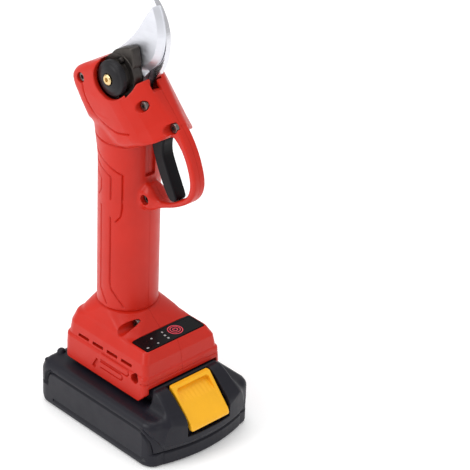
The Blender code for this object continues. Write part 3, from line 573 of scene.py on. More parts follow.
# x, z, depth of each counterbore's floor
SCREWS = (
    (-37.5, 215.0, -16.6),
    (6.0, 211.0, -9.2),
    (23.0, 201.5, -1.9),
    (3.5, 149.0, -2.8),
    (2.4, 66.5, -9.0),
    (23.0, 46.5, -23.0),
)


# How the head widens inward from its front strip, as a share of its half width
HEAD_HALF = 21.0
BOW_IN = (-2, 0, 2, 5, 10, 16, 22, 32)
BOW_SHARE = (-0.1, 0.0, 0.15, 0.34, 0.63, 0.82, 0.935, 1.0)
# The rounding of the head's edges, which grows down its back
RIM = 6.5
BACK_RIM_Z = (176, 184, 192, 200, 208, 214)
BACK_RIM = (20.0, 18.5, 15.0, 11.0, 8.0, 6.5)
# How far the grip bulges backward below the head
BULGE_Z = (162, 168, 173, 178, 184, 190, 200)
BULGE = (0.0, 0.3, 1.3, 2.8, 4.4, 5.6, 7.0)
GUARD_HALF, GUARD_EDGE = 4.4, 1.7


def outer_housing(x, y, z):
    """The housing's outside, without its fine detail."""
    ay = np.abs(y)
    inward = -(x - 2.5) * math.sin(LEAN) - (z - 224.0) * math.cos(LEAN)
    along = (x - 2.5) * math.cos(LEAN) - (z - 224.0) * math.sin(LEAN)
    strip = 6.6 - 2.8 * np.clip(along / 24.0, 0, 1)
    width = strip + (HEAD_HALF - strip) * np.interp(inward, BOW_IN, BOW_SHARE)
    back = np.clip((-8.0 - x) / 14.0, 0, 1)
    rim = RIM + (np.interp(z, BACK_RIM_Z, BACK_RIM) - RIM) * back
    half = 20.5 - 2.2 * np.interp(z, (186, 208), (1, 0)) * np.clip((-6.0 - x) / 14.0, 0, 1)
    head = smax(rounded(HEAD(x, z), ay - half, rim), (ay - width) * 0.74, 1.6)
    bulge = np.interp(z, BULGE_Z, BULGE)
    gx = np.where(x < GRIP_X, (x - GRIP_X) * GRIP_R / (GRIP_R + bulge), x - GRIP_X)
    grip = np.maximum(np.hypot(gx, y) - GRIP_R, np.maximum(z - 196.0, 66.0 - z))
    guard = rounded(GUARD(x, z), ay - GUARD_HALF, GUARD_EDGE)
    foot = foot_field(x, ay, z)
    root = rounded(np.hypot(x - 2.2, z - 149.0) - 4.4, ay - 6.6, 1.6)
    guard = smin(guard, root, 7.0)
    body = smin(head, grip, 2.6)
    body = smin(body, guard, 2.0)
    return np.minimum(body, foot)


# The foot's plan at several heights: half width, back and front
FOOT_Z = (33.0, 42.3, 48.2, 49.0, 49.6, 57.0, 62.0, 64.5)
FOOT_HALF = (30.2, 30.1, 29.9, 29.4, 28.6, 27.6, 24.8, 23.2)
FOOT_BACK = (-41.8, -41.8, -41.6, -41.2, -40.8, -40.2, -39.4, -38.8)
FOOT_FRONT = (32.6, 32.2, 31.6, 31.3, 31.0, 29.8, 27.2, 25.4)
# The roof that leads from the foot up to the grip's ring
ROOF_Z = (56.0, 63.0, 66.0, 69.0, 71.2, NECK_Z, 74.0)
ROOF_BACK = (-39.6, -38.2, -37.6, -37.0, -36.4, -35.95, -35.9)
ROOF_FRONT = (20.0, 12.6, 8.9, 5.0, 2.4, 0.75, 0.7)
ROOF_HALF = (26.0, 24.0, 22.6, 20.8, 19.2, 18.35, 18.3)
ROOF_CORNER = (7.0, 9.0, 11.5, 15.0, 17.4, 18.3, 18.3)


def foot_field(x, ay, z):
    half = np.interp(z, FOOT_Z, FOOT_HALF)
    back = np.interp(z, FOOT_Z, FOOT_BACK)
    front = np.interp(z, FOOT_Z, FOOT_FRONT)
    corner = np.where(x < -10.0, 7.0, 3.4)
    sides = box2(x - (front + back) / 2, ay, (front - back) / 2, half, corner) * 0.93
    body = rounded(sides, z - 63.2, 1.0)
    half = np.interp(z, ROOF_Z, ROOF_HALF)
    back = np.interp(z, ROOF_Z, ROOF_BACK)
    front = np.interp(z, ROOF_Z, ROOF_FRONT)
    corner = np.interp(z, ROOF_Z, ROOF_CORNER)
    roof = box2(x - (front + back) / 2, ay, (front - back) / 2, half, corner) * 0.62
    roof = np.maximum(roof, np.maximum(z - 73.4, 54.0 - z))
    body = smin(body, roof, 1.6)
    # The skirt's front end is cut away below the front lip
    cut = np.maximum((x - 26.5) * 0.72 + (42.2 - z) * 0.69 - 6.5, 33.0 - z)
    return smax(body, cut, 0.5)


def detailed(x, y, z):
    """Grooves, ridges and pads on the housing's outside."""
    d = outer_housing(x, y, z)
    ay = np.abs(y)
    near = np.abs(d) < 2.5
    cut = np.zeros_like(d)
    head_zone = (z > 160) & near
    p = np.nonzero(head_zone)[0]
    if len(p):
        X, Y, Z = x[p], ay[p], z[p]
        part = np.where((Y > 7.5) | (X < -20), HEAD(X, Z) - 0.6, 9.0)
        cut[p] = groove(part, 0.8, 0.85)
        cut[p] = np.maximum(cut[p], groove(np.where(Y > 14, HEAD_ARC(X, Z), 9.0), 0.75, 0.8))
    grip_zone = (z > 71) & (z < 180) & near
    p = np.nonzero(grip_zone)[0]
    if len(p):
        X, Y, Z = x[p], ay[p], z[p]
        arc = np.arctan2(-Y, X - GRIP_X) * GRIP_R
        for line in GRIP_LINES:
            cut[p] = np.maximum(cut[p], groove(line(arc, Z), 0.75, 0.9))
        cut[p] = np.maximum(cut[p], groove(Z - NECK_Z, 0.75, 0.8))
    foot_zone = (z < 60) & near
    p = np.nonzero(foot_zone)[0]
    if len(p):
        X, Y, Z = x[p], ay[p], z[p]
        side = Y > 25
        u, v = X + 11.5, Z - 40.5
        bar = box2(u * 0.86 - v * 0.5, v * 0.86 + u * 0.5, 1.35, 4.0, 0.6)
        cut[p] = np.maximum(cut[p], np.where(side, 1.2 * np.clip(-bar / 0.4, 0, 1), 0))
        upper_pad = box2(X + 12.0, Z - 47.0, 29.5, 2.1, 1.8)
        lower_pad = box2(X - 2.0, Z - 41.6, 10.4, 1.9, 1.8)
        for pad in (upper_pad, lower_pad):
            ditch = np.maximum(np.abs(pad) - 0.55, np.maximum(-7.5 - X, Z - 49.4))
            cut[p] = np.maximum(cut[p], np.where(side, 0.95 * np.clip(-ditch / 0.5, 0, 1), 0))
        lip = np.where(X > 28, Z - 45.0, 9.0)
        cut[p] = np.maximum(cut[p], groove(lip, 0.6, 0.4))
    return d + cut


def hole(x, y, z, cx, cz, radius, floor):
    """A hole bored along +Y from the -Y side down to a floor."""
    return np.maximum(np.hypot(x - cx, z - cz) - radius, y - floor)


def dish(x, y, z, start, end, radius):
    """A groove that fades out from its deep start to its end."""
    (ax, ay, az), (bx, by, bz) = start, end
    dx, dy, dz = bx - ax, by - ay, bz - az
    t = np.clip(((x - ax) * dx + (y - ay) * dy + (z - az) * dz) / (dx * dx + dy * dy + dz * dz), 0, 1)
    u, v, w = x - ax - t * dx, y - ay - t * dy, z - az - t * dz
    return np.sqrt(u**2 + v**2 + w**2) - radius * (1 - 0.6 * t)


BOSS_R, BORE_R = 3.9, 3.1


def cored(d, x, y, z):
    """The shell's hollow with its screw bosses, and the battery's dock and rails."""
    ay = np.abs(y)
    hollow = outer_housing(x, y, z) + WALL
    hollow = np.where(z < 60, np.maximum(hollow, 43.9 - z), hollow)
    for cx, cz, _ in SCREWS:
        hollow = np.maximum(hollow, BOSS_R - np.hypot(x - cx, z - cz))
    d = np.maximum(d, -hollow)
    dock = wall(np.abs(x + 5.0) - 45.0, ay - 26.9, z - 42.3)
    d = np.maximum(d, -dock)
    terminal = wall(np.abs(x + 25.0) - 11.7, ay - 16.7, np.abs(z - 43.0) - 4.0)
    d = np.maximum(d, -terminal)
    rail = wall(np.abs(x + 7.0) - 31.0, np.abs(ay - 24.9) - 2.7, np.abs(z - 34.3) - 1.3)
    return np.minimum(d, rail)


def pivot_openings(d, x, y, z, side):
    """Room for the hub, its lobe and the blades."""
    ay = np.abs(y)
    radius = np.hypot(x - PIVOT_X, z - PIVOT_Z)
    if side < 0:
        opening = np.maximum(radius - 13.7, -15.9 - y)
        pocket = np.maximum(radius - 12.1, y + 15.7)
        d = smax(d, -np.minimum(opening, pocket), 0.7)
        flank = wall((x + 8.0) * 0.61 - (z - 216.4) * 0.792, -12.0 - x, x - 4.5)
        d = smax(d, -np.maximum(flank, y + 4.2), 0.5)
        lobe = wall(radius - 15.9, -11.5 - y, x + 13.6, 222.0 - z)
        d = np.maximum(d, -lobe)
    else:
        d = np.maximum(d, -np.maximum(radius - 13.7, y - 7.4))
        d = np.maximum(d, -np.maximum(radius - 6.9, y - 11.6))
        d = np.maximum(d, -np.maximum(np.hypot(x - PIN_X, z - PIN_Z) - 4.2, y - 7.6))
    slot = wall(ay - 4.1, x - 3.4, 213.0 - z, -30.0 - x, (212.0 - z) * 0.9 + (x + 10) * 0.2)
    notch = wall(np.where(x > 3.4, np.abs(y + 2.4) - 3.0, ay - 4.1), 218.4 - z, -4.0 - x)
    return smax(d, -np.minimum(slot, notch), 0.4)


def trigger_openings(d, x, y, z):
    """The trigger's slot, the recess in the grip behind it, and its pin's hole."""
    ay = np.abs(y)
    trigger = wall(ay - 4.6, 1.2 - x, x - 18.5, 176.0 - z, z - 199.5, (x - 14.0) * 0.95 - (z - 176.0) * 0.28)
    d = smax(d, -trigger, 0.5)
    recess = wall(ay - 3.6, np.abs(x - 3.0) - 4.3, 161.5 - z, z - 187.0)
    back = wall(ay - 5.0, np.abs(x + 2.3) - 1.0, np.abs(z - 175.0) - 15.0)
    d = np.minimum(smax(d, -recess, 0.5), back)
    return np.maximum(d, -np.maximum(np.hypot(x - PIN_X, z - PIN_Z) - 1.8, ay - 5.6))


def foot_openings(d, x, y, z):
    """The panel's seat and window, and a row of vents."""
    ay = np.abs(y)
    seat = np.maximum(box2(x - PANEL_X, y, 7.15, 22.9, 1.6), np.abs(z - 64.0) - 2.1)
    d = np.maximum(d, -seat)
    window = wall(np.abs(x - 18.7) - 5.3, ay - 19.5, np.abs(z - 62.0) - 7.0)
    d = np.maximum(d, -window)
    for k in range(4):
        vent = np.maximum(box2(x + 24.3 - 12.7 * k, z - 51.9 - 0.02 * x, 4.7, 1.0, 0.5), 20.0 - ay)
        d = np.maximum(d, -vent)
    return d


def screw_bores(d, x, y, z, side):
    """Counterbores in the near half, and blind holes in the far half."""
    if side > 0:
        for cx, cz, _ in SCREWS:
            d = np.maximum(d, -np.maximum(np.hypot(x - cx, z - cz) - 1.6, y - 3.0))
        return d
    # The counterbore at the guard's root opens into a short dish
    scoop = dish(x, y, z, (3.5, -9.0, 149.0), (-5.0, -16.5, 146.0), 2.6)
    d = np.minimum(d, np.maximum(scoop - 1.6, outer_housing(x, y, z)))
    d = smax(d, -scoop, 0.6)
    for cx, cz, floor in SCREWS:
        d = smax(d, -hole(x, y, z, cx, cz, BORE_R, floor), 0.35)
        d = np.maximum(d, 1.7 - np.hypot(x - cx, z - cz))
    return d


def housing(x, y, z, side):
    """One half of the housing: side is -1 for the near half and 1 for the far one."""
    d = cored(detailed(x, y, z), x, y, z)
    d = pivot_openings(d, x, y, z, side)
    d = trigger_openings(d, x, y, z)
    d = foot_openings(d, x, y, z)
    d = screw_bores(d, x, y, z, side)
    return np.maximum(d, 0.06 - np.abs(y))


def halves():
    low, high = (-49.0, -31.5, 32.0), (43.5, 0.9, 236.0)
    surface(
        "shell_left",
        lambda x, y, z: np.where(y > 0, np.maximum(y, 0.0) + 0.06, housing(x, np.minimum(y, 0.0), z, -1)),
        low,
        high,
        STEP,
        RED,
        "housing",
        ("housing_left",),
        keep=KEEP,
    )
    surface(
        "shell_right",
        lambda x, y, z: np.where(y < 0, np.maximum(-y, 0.0) + 0.06, housing(x, np.maximum(y, 0.0), z, 1)),
        (low[0], -0.9, low[2]),
        (high[0], 31.5, high[2]),
        STEP,
        RED,
        "housing",
        ("housing_right",),
        keep=KEEP,
    )


# ------------------------------------------------------------------ battery

SEAM_FRONT, SEAM_BACK, DECK = 9.4, 14.0, 30.0
PACK_HALF = 40.5


def pack_outline():
    """The pack seen from above: round corners and a bowed front."""
    bow = [(55.3 - 5.4 * (y / 33.0) ** 2, y) for y in np.linspace(-32.0, 32.0, 17)]
    near = curve(((50.2, -32.0), (49.0, -36.0), (46.2, -39.0), (42.0, -PACK_HALF)), per=4)
    turn = np.linspace(-math.pi / 2, -math.pi, 9)
    back = [(-45.0 + 8.0 * math.cos(a), -32.5 + 8.0 * math.sin(a)) for a in turn]
    half = back[::-1] + [tuple(p) for p in near[::-1]] + [p for p in bow if -31.9 < p[1] <= 0.0]
    far = [(x, -y) for x, y in reversed(half) if y < -0.01]
    return np.array(half + far)


PACK = Flat(pack_outline())
SIDE_PANEL = Flat(
    np.vstack(
        [
            curve(((-43.6, 14.0), (-43.4, 18.6), (-41.6, 22.2), (-37.5, 23.6)), per=4)[:-1],
            curve(
                (
                    (-37.5, 23.6),
                    (0.0, 23.8),
                    (36.0, 23.8),
                    (42.0, 22.4),
                    (45.6, 18.6),
                    (47.0, 13.5),
                    (47.2, 9.4),
                ),
                per=4,
            )[:-1],
            [(47.2, -6.0), (-43.6, -6.0)],
        ]
    ),
    margin=8.0,
)
NOSE = Flat(
    curve(
        (
            (33.6, 20.0),
            (33.6, 41.0),
            (34.4, 41.5),
            (38.4, 41.2),
            (45.0, 36.6),
            (51.8, 29.4),
            (55.4, 22.6),
            (56.2, 14.0),
        ),
        per=4,
    ),
    margin=10.0,
)


def pack_outer(x, y, z):
    """The pack's outside: a low box with a round heel, a nose over the latch and two knobs at the back."""
    ay = np.abs(y)
    plan = PACK(x, y)
    heel = np.hypot(np.minimum(x + 41.0, 0.0), np.minimum(z - 13.0, 0.0) * 0.92) - 12.0
    low = rounded(plan, -z, 2.0)
    low = smax(low, np.where((x < -38.0) & (z < 16.0), heel, -9.0), 1.0)
    d = rounded(low, z - DECK, np.interp(x, (-53.0, -34.0), (9.5, 4.8)))
    nose_half = np.interp(z, (9.0, 20.0, 30.0, 42.0), (32.0, 30.5, 27.6, 25.6))
    nose = rounded(NOSE(x, z), ay - nose_half, 2.0)
    nose = np.maximum(nose, plan - 1.0)
    d = smin(d, nose, 5.0)
    knob = np.hypot(np.hypot(x + 46.5, ay - 27.0), np.maximum(z - 29.6, 0)) - 2.7
    return np.minimum(d, np.maximum(knob, 24.0 - z))


def seam(x, y, z):
    """Below zero where the shell belongs to the lower case."""
    ay = np.abs(y)
    level = z - np.interp(x, (-43.6, 47.2), (SEAM_BACK, SEAM_FRONT))
    panel = np.maximum(SIDE_PANEL(x, z), 35.5 - ay)
    return np.minimum(level, panel)


def pack_lines(x, y, z):
    """The seam, the groove low on the sides and the frames of the side panels."""
    ay = np.abs(y)
    mark = groove(seam(x, y, z), 1.05, 1.25)
    side = (ay > 36.0) & (x > -38.5) & (x < 44.5)
    mark = np.maximum(mark, np.where(side, groove(z - 4.6, 1.25, 1.15), 0))
    frame = np.where((ay > 30.0) & (x > 38.0) & (z < 26.0), np.abs(SIDE_PANEL(x, z) - 2.8), 9.0)
    mark = np.maximum(mark, groove(frame, 0.8, 0.6))
    end = (ay > 34.0) & (z > 14.0) & (z < 25.0) & (x < -38.0)
    end = np.where(end, np.abs(SIDE_PANEL(x, z) - 1.8), 9.0)
    return np.maximum(mark, groove(end, 0.9, 0.9))


def pack_top(d, x, y, z, inner):
    """The rails, the latch's pocket and the contacts' slots, on the upper case."""
    ay = np.abs(y)
    rail_x = np.abs(x + 3.0) - 37.0
    neck = wall(rail_x, ay - 21.4, np.abs(z - 33.0) - 5.0)
    head = wall(rail_x, ay - 24.5, np.abs(z - 38.5) - 2.5)
    d = np.minimum(d, np.minimum(neck, head))
    bed = wall(np.abs(x - 43.5) - 9.8, ay - 19.0, 13.4 - z, (x - 36.0) * 0.66 + (z - 28.0) * 0.75 - 8.0)
    d = np.maximum(d, -np.maximum(inner, -bed))
    pocket = wall(ay - 16.6, 34.8 - x, (34.8 - x) * 0.726 + (36.0 - z) * 0.688, 16.8 - z)
    d = smax(d, -pocket, 0.6)
    cup = np.maximum(np.hypot(x - SPRING_X, y) - 3.6, 23.4 - z)
    d = np.maximum(d, -cup)
    slot = wall(np.abs(x + 28.5) - 16.5, np.abs(ay - 9.0) - 1.3, 35.6 - z)
    return np.maximum(d, -slot)


def pack_screws(d, x, y, z, boss_low):
    """Bosses and stepped holes for the pack's four screws."""
    ay = np.abs(y)
    boss = 99.0
    hole = 99.0
    for cx, cy in ((-46.8, 36.0), (43.4, 36.2)):
        away = np.hypot(x - cx, ay - cy)
        boss = np.minimum(boss, wall(away - 2.9, boss_low - z, z - 28.0))
        hole = np.minimum(hole, np.minimum(np.maximum(away - 1.2, z - 22.0), np.maximum(away - 2.3, z - 3.2)))
    return np.maximum(np.minimum(d, np.maximum(boss, PACK(x, y) + 1.0)), -hole)


def pack_case(x, y, z, upper):
    ay = np.abs(y)
    d = pack_outer(x, y, z) + pack_lines(x, y, z)
    inner = wall(PACK(x, y) + 2.4, z - 27.6, 2.2 - z)
    rail_room = wall(np.abs(x + 4.0) - 34.0, ay - 18.8, np.abs(z - 26.0) - 8.6)
    inner = np.minimum(inner, rail_room)
    d = pack_top(d, x, y, z, inner) if upper else np.maximum(d, -inner)
    d = pack_screws(d, x, y, z, -1.0 if upper else 1.0)
    line = seam(x, y, z)
    return np.maximum(d, 0.07 - line if upper else line + 0.07)


def battery():
    surface(
        "pack_lower",
        lambda x, y, z: pack_case(x, y, z, False),
        (-54.5, -42.0, -1.0),
        (58.5, 42.0, 27.5),
        STEP,
        CHARCOAL,
        "battery",
        ("battery_lower_case",),
        KEEP,
    )
    surface(
        "pack_upper",
        lambda x, y, z: pack_case(x, y, z, True),
        (-54.5, -42.0, 7.5),
        (58.5, 42.0, 43.0),
        STEP,
        CHARCOAL,
        "battery",
        ("battery_upper_case",),
        KEEP,
    )


SPRING_X = 43.5
LATCH = Flat(
    (
        (36.2, 42.2),
        (39.2, 42.0),
        (55.0, 25.2),
        (56.2, 24.0),
        (57.7, 21.4),
        (57.4, 20.2),
        (54.8, 20.2),
        (36.2, 38.6),
    ),
    margin=8.0,
    step=0.15,
)


def latch_field(x, y, z):
    """A sloping plate with a rippled finger trough, deepest at its upper end."""
    slide = x - 36.2
    half = 15.4 - 0.25 * np.clip(slide / 20.0, 0, 1)
    plan = box2(x - 47.0, y, 10.8, half, 1.9)
    d = rounded(rounded(LATCH(x, z), np.abs(y) - half, 0.9), plan, 0.8)
    across = (x - 39.1) * 0.681 + (z - 42.0) * 0.732
    along = (x - 39.1) * 0.732 - (z - 42.0) * 0.681
    depth = np.maximum(3.7 - 0.24 * along, 0.85) + 0.02 * y
    ripple = 0.06 * np.cos((y + 0.6) * 2.05) * np.clip(along / 4.0, 0, 1)
    floor = -(across + depth + ripple)
    rim = box2(along - 11.4, y, 9.6, 12.6, 2.2)
    trough = np.maximum(rim * 0.9, floor)
    d = smax(d, -trough, 0.7)
    cup = np.maximum(np.hypot(x - SPRING_X, y) - 3.2, z - 31.9)
    return np.maximum(d, -cup)


# ------------------------------------------------------------------ trigger, hub and blades

TRIGGER = Flat(
    curve(
        (
            (13.6, 194.4),
            (15.0, 190.6),
            (14.6, 186.4),
            (15.2, 181.2),
            (18.4, 174.2),
            (22.6, 166.2),
            (26.0, 159.6),
            (26.2, 156.8),
            (23.4, 155.0),
            (20.4, 155.6),
            (16.6, 160.0),
            (11.4, 169.4),
            (6.8, 179.6),
            (4.9, 186.6),
            (5.2, 192.4),
            (9.2, 195.6),
        ),
        closed=True,
        per=4,
    ),
    margin=6.0,
    step=0.15,
)


def trigger_field(x, y, z):
    ay = np.abs(y)
    d = rounded(TRIGGER(x, z), ay - 4.05, 1.1)
    d = np.maximum(d, -np.maximum(np.hypot(x - PIN_X, z - PIN_Z) - 1.55, ay - 6.0))
    pocket = wall(np.abs(x - 7.1) - 1.9, ay - 1.8, np.abs(z - 185.3) - 1.9)
    return np.maximum(d, -pocket)


CARRIER_PROFILE = Flat(
    (
        (6.0, -13.5),
        (9.5, -13.5),
        (9.5, -11.2),
        (13.0, -11.2),
        (13.0, -6.2),
        (11.5, -6.2),
        (11.5, -3.9),
        (4.04, -3.9),
        (4.04, -10.3),
        (6.0, -10.3),
    ),
    margin=16.0,
    step=0.15,
)
LOBE = Flat(
    curve(
        (
            (-24.5, 227.0),
            (-22.4, 232.6),
            (-19.0, 236.4),
            (-15.0, 238.4),
            (-10.4, 240.6),
            (-6.2, 240.8),
            (-4.6, 236.6),
            (-4.8, 229.0),
            (-15.0, 225.0),
        ),
        closed=True,
        per=5,
    ),
    margin=12.0,
    step=0.15,
)


def carrier_field(x, y, z):
    """The hub turned about the pivot, with its flat lobe."""
    radius = np.hypot(x - PIVOT_X, z - PIVOT_Z)
    hub = CARRIER_PROFILE(radius, y)
    lobe = rounded(LOBE(x, z), np.abs(y + 7.35) - 3.2, 0.7)
    lobe = np.maximum(lobe, 11.0 - radius)
    d = smin(hub, lobe, 0.4)
    lock = np.maximum(np.hypot(x + 12.1, z - 232.9) - 1.1, -np.abs(y) + 3.0)
    return np.maximum(d, -lock)


def arc_points(radius, start, end, steps):
    turn = np.radians(np.linspace(start, end, steps + 1))
    return [(PIVOT_X + radius * math.cos(a), PIVOT_Z + radius * math.sin(a)) for a in turn]


# The cutting blade's back and edge, then the hook's back and face
SPINE = (
    (-24.6, 233.0),
    (-15.6, 241.6),
    (-8.8, 249.8),
    (-2.0, 260.6),
    (2.6, 266.9),
    (6.6, 268.6),
)
EDGE = (
    (9.6, 261.5),
    (11.2, 253.5),
    (10.8, 246.0),
    (8.8, 238.6),
    (5.2, 232.6),
    (-1.0, 227.0),
)
HOOK_BACK = (
    (5.0, 226.4),
    (9.2, 235.0),
    (10.9, 244.6),
    (10.6, 252.0),
    (7.6, 260.5),
    (2.5, 267.4),
    (-1.8, 270.4),
)
HOOK_FACE = (
    (-2.4, 266.0),
    (0.6, 259.0),
    (2.4, 250.0),
    (1.6, 242.0),
    (-1.4, 235.6),
    (-5.5, 231.8),
)
BLADE = Flat(np.vstack([curve(SPINE + EDGE), arc_points(12.0, 0.0, -215.0, 24)]), margin=6.0, step=0.15)
BLADE_LINE = Flat(curve(((6.6, 268.6),) + EDGE), closed=False, margin=6.0, step=0.15)
HOOK = Flat(
    np.vstack(
        [
            curve(HOOK_BACK),
            curve(HOOK_FACE),
            arc_points(12.0, 60.0, 290.0, 24),
            [(-8.0, 205.0), (1.0, 203.5), (3.0, 206.6), (0.6, 214.0), (1.0, 220.0)],
        ]
    ),
    margin=6.0,
    step=0.15,
)
HOOK_LINE = Flat(curve(HOOK_FACE), closed=False, margin=6.0, step=0.15)
MOUNT = Flat(
    np.vstack(
        [
            arc_points(12.4, 60.0, 290.0, 24),
            [(-8.0, 204.5), (1.4, 202.6), (3.6, 206.0), (0.4, 213.6), (-5.4, 221.4), (-6.0, 231.0)],
        ]
    ),
    margin=6.0,
    step=0.15,
)


def pivot_hole(d, x, z):
    return np.maximum(d, 4.04 - np.hypot(x - PIVOT_X, z - PIVOT_Z))


def blade_field(x, y, z):
    """A flat blade, ground towards its edge on the near side."""
    grind = np.clip(3.6 - BLADE_LINE(x, z), 0, 3.0) * 0.92
    d = rounded(BLADE(x, z), np.abs(y + 1.9 - grind * 0.5) - 1.7 + grind * 0.5, 0.12)
    return pivot_hole(d, x, z)


def hook_field(x, y, z):
    """The fixed hook, ground along its face on the far side."""
    grind = np.clip(2.6 - HOOK_LINE(x, z), 0, 2.2) * 0.8
    d = rounded(HOOK(x, z), np.abs(y - 2.0 + grind * 0.5) - 1.8 + grind * 0.5, 0.25)
    return mount_holes(pivot_hole(d, x, z), x, z)


def mount_holes(d, x, z):
    """Holes for the two screws that fix the hook to its bracket."""
    for cx, cz in ((-23.2, 215.0), (-2.8, 208.6)):
        d = np.maximum(d, 1.7 - np.hypot(x - cx, z - cz))
    return d


def mount_field(x, y, z):
    d = rounded(MOUNT(x, z), np.abs(y - 5.55) - 1.45, 0.5)
    return mount_holes(pivot_hole(d, x, z), x, z)


def screw_field(x, y, z, cx, cz, floor):
    """A socket screw along Y: its head lies on the floor of its counterbore."""
    u, v = x - cx, z - cz
    radius = np.hypot(u, v)
    head = rounded(radius - 2.75, np.abs(y - floor + 1.1) - 1.1, 0.35)
    shank = np.maximum(radius - 1.45, np.maximum(floor - 0.5 - y, y - 2.0))
    hexagon = np.maximum(np.abs(u), np.abs(u) * 0.5 + np.abs(v) * 0.866) - 1.2
    socket = np.maximum(hexagon, y - floor + 0.8)
    return np.maximum(np.minimum(head, shank), -socket)


def screws():
    """The housing's screws, each with a hexagon socket."""
    for number, (cx, cz, floor) in enumerate(SCREWS, 1):
        surface(
            f"shell_screw_{number}",
            lambda x, y, z: screw_field(x, y, z, cx, cz, floor),
            (cx - 3.2, floor - 2.8, cz - 3.2),
            (cx + 3.2, 2.6, cz + 3.2),
            SCREW_STEP,
            SCREW,
            "housing",
            (f"housing_screw_{number}",),
            KEEP,
            30,
        )


def fine_piece(name, field, low, high, finish, body, node, angle=38):
    surface(name, field, low, high, FINE, finish, body, (node,), KEEP, angle)


def latch_and_trigger():
    low, high = (35.5, -16.0, 19.5), (58.5, 16.0, 43.0)
    fine_piece("latch_plate", latch_field, low, high, YELLOW, "latch", "battery_latch")
    low, high = (3.5, -4.8, 153.5), (27.5, 4.8, 197.0)
    fine_piece("trigger_lever", trigger_field, low, high, BLACK, "trigger_lever", "trigger")


def hub_and_blades():
    low, high = (-29.5, -16.2, 208.0), (-1.0, -3.2, 242.5)
    fine_piece("hub", carrier_field, low, high, GUNMETAL, "jaw", "blade_carrier")
    low, high = (-28.0, -4.2, 209.0), (12.5, 0.4, 271.0)
    fine_piece("cutting_blade", blade_field, low, high, STEEL, "jaw", "moving_blade", 25)
    low, high = (-28.0, -0.4, 202.0), (12.5, 4.4, 271.5)
    fine_piece("hook_blade", hook_field, low, high, HOOK_STEEL, "housing", "fixed_blade", 25)
    low, high = (-28.5, 3.6, 201.5), (5.0, 7.6, 235.5)
    fine_piece("blade_bracket", mount_field, low, high, GUNMETAL, "housing", "blade_mount", 30)


# The cap's section, as (radius, y)
CAP = (
    (2.1, -18.3),
    (2.1, -13.8),
    (9.4, -13.8),
    (10.1, -14.0),
    (10.5, -14.5),
    (10.5, -16.6),
    (10.42, -17.1),
    (10.1, -17.55),
    (9.5, -17.8),
    (8.4, -18.05),
    (8.2, -18.25),
    (7.0, -18.7),
    (5.6, -19.1),
    (4.6, -19.35),
    (3.9, -19.4),
    (3.6, -19.2),
    (3.55, -18.4),
    (2.1, -18.3),
)


def cap():
    lathe("cap", CAP, (PIVOT_X, 0.0, PIVOT_Z), CAP_BLACK, "housing", ("pivot_cap",), 96)


def panel_field(x, y, z):
    """The panel's frame, with a sunk film and the button's hole."""
    d = rounded(box2(x - PANEL_X, y, 6.8, 22.5, 1.6), np.abs(z - 63.05) - 0.85, 0.15)
    film = np.maximum(box2(x - PANEL_X, y, 5.6, 21.4, 0.9), 63.75 - z)
    d = np.maximum(d, -film)
    return np.maximum(d, 4.1 - np.hypot(x - BUTTON_X, y - BUTTON_Y))


def power_field(x, y, z):
    """A round button with a flange below."""
    radius = from_button(x, y)
    d = rounded(radius - 3.9, np.abs(z - 62.2) - 1.7, 0.25)
    return np.minimum(d, np.maximum(radius - 4.6, np.abs(z - 60.0) - 0.6))


def from_button(x, y):
    return np.hypot(x - BUTTON_X, y - BUTTON_Y)


def flat_mark(name, field, low, high, height, ink, body="housing"):
    """A thin printed mark that stands a little above the film."""
    surface(
        name,
        lambda x, y, z: np.maximum(field(x, y), np.abs(z - height) - 0.06),
        (*low, height - 0.4),
        (*high, height + 0.4),
        0.1,
        ink,
        body,
    )


def round_mark(name, field, half_x, half_y, height, body):
    """A red mark about the power button's centre."""
    low = (BUTTON_X - half_x, BUTTON_Y - half_y)
    high = (BUTTON_X + half_x, BUTTON_Y + half_y)
    flat_mark(name, field, low, high, height, RING_RED, body)


def sign(x, y):
    """A small ring with a gap, and a short bar that reaches out through it."""
    open_ring = np.maximum(np.abs(from_button(x, y) - 1.45) - 0.28, 0.6 - from_button(x + 1.45, y))
    return np.minimum(open_ring, box2(x - BUTTON_X + 1.0, y - BUTTON_Y, 0.75, 0.22, 0.1))


FILM_TOP, KEY_TOP = 63.78, 63.95
# Centre and half sizes of each lamp's mark
LAMP_MARKS = (
    (15.9, -2.4, 0.7, 0.5),
    (19.5, -3.4, 0.7, 0.6),
    (22.8, -3.6, 0.7, 0.6),
    (17.0, -11.7, 0.6, 0.6),
    (23.1, -11.9, 0.5, 0.6),
    (23.2, -20.0, 0.5, 0.8),
)


def ring(radius, half):
    """The distance from a ring about the power button."""
    return lambda x, y: np.abs(from_button(x, y) - radius) - half


def marks():
    """Red rings on and round the power button, and the lamps' small grey marks."""
    round_mark("power_ring", ring(4.45, 0.3), 5.8, 6.0, FILM_TOP, "housing")
    round_mark("power_sign", sign, 3.0, 3.2, KEY_TOP, "button")
    round_mark("power_rim", ring(3.1, 0.26), 4.1, 4.2, KEY_TOP, "button")
    for number, (cx, cy, half_x, half_y) in enumerate(LAMP_MARKS, 1):
        flat_mark(
            f"lamp_mark_{number}",
            lambda x, y: box2(x - cx, y - cy, half_x, half_y, 0.3),
            (cx - 1.2, cy - 1.4),
            (cx + 1.2, cy + 1.4),
            FILM_TOP,
            LAMP_GREY,
        )


def panel():
    low, high = (13.6, BUTTON_Y - 5.1, 59.0), (23.8, BUTTON_Y + 5.1, 64.4)
    fine_piece("power_key", power_field, low, high, FILM, "button", "power_button")
    marks()
    low, high = (11.2, -23.2, 61.7), (26.3, 23.2, 64.6)
    fine_piece("panel", panel_field, low, high, FILM, "housing", "control_panel")


halves()
battery()
latch_and_trigger()
hub_and_blades()
cap()
screws()
panel()

# ------------------------------------------------------------------ stage


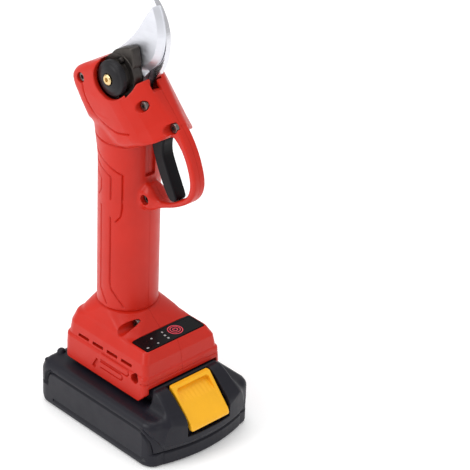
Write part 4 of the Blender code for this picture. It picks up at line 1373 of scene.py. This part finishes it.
def stage():
    """A pale floor, a white world and three soft lamps."""
    mesh = bpy.data.meshes.new("floor")
    size = 6.0
    corners = [(-size, -size, 0), (size, -size, 0), (size, size, 0), (-size, size, 0)]
    mesh.from_pydata(corners, [], [(0, 1, 2, 3)])
    floor = bpy.data.objects.new("floor", mesh)
    floor.location.z = -0.0002
    bpy.context.scene.collection.objects.link(floor)
    made, nodes, links, shader = material("floor_white", (0.97, 0.97, 0.97), 0.6)
    shader.inputs["Emission Color"].default_value = (1, 1, 1, 1)
    shader.inputs["Emission Strength"].default_value = 0.16
    links.new(spread(nodes, links, noise(nodes, links, 6.0), 0.55, 0.65), shader.inputs["Roughness"])
    mesh.materials.append(made)
    world = bpy.data.worlds.new("studio")
    world.use_nodes = True
    world.node_tree.nodes["Background"].inputs["Color"].default_value = (1, 1, 1, 1)
    world.node_tree.nodes["Background"].inputs["Strength"].default_value = 0.62
    bpy.context.scene.world = world
    for name, place, size, power in (
        ("key", (-0.5, -1.5, 1.1), 0.8, 13.0),
        ("fill", (1.7, 0.1, 0.9), 0.9, 3.5),
        ("top", (-0.2, 0.1, 1.9), 1.3, 14.0),
    ):
        lamp = bpy.data.lights.new(name, "AREA")
        lamp.size = size
        lamp.energy = power
        light = bpy.data.objects.new(name, lamp)
        light.location = place
        aim = Vector((0, 0, 0.14)) - Vector(place)
        light.rotation_euler = aim.to_track_quat("-Z", "Y").to_euler()
        bpy.context.scene.collection.objects.link(light)


def camera():
    lens = bpy.data.cameras.new("camera")
    lens.lens = 173.26
    lens.sensor_width = 36.0
    lens.clip_start = 0.05
    view = bpy.data.objects.new("camera", lens)
    view.location = (0.83769, -0.76224, 0.77817)
    aim = Vector((0.03936, 0.03113, 0.12761)) - view.location
    turn = aim.to_track_quat("-Z", "Y") @ Quaternion((0, 0, 1), math.radians(2.4))
    view.rotation_mode = "QUATERNION"
    view.rotation_quaternion = turn
    bpy.context.scene.collection.objects.link(view)
    bpy.context.scene.camera = view
    bpy.context.scene.view_settings.view_transform = "Standard"


stage()
camera()

PAINT = {
    "blade_steel": STEEL,
    "gunmetal": GUNMETAL,
    "screw_steel": SCREW,
    "brass": BRASS,
    "gear_steel": GEAR,
    "motor_steel": MOTOR,
    "copper": COPPER,
    "magnet": MAGNET,
    "board_green": BOARD,
    "cell_wrap": WRAP,
    "black_plastic": BLACK,
    "charcoal_plastic": CHARCOAL,
    "gloss_black": FILM,
    "yellow_plastic": YELLOW,
    "power_red": BUTTON_RED,
    "red_plastic": RED,
}
slots = {part["node"]: part["material_slot"] for part in frame["record"]["subparts"]}
for name, node in frame["nodes"].items():
    for place in node.material_slots:
        place.material = PAINT[slots[name]]
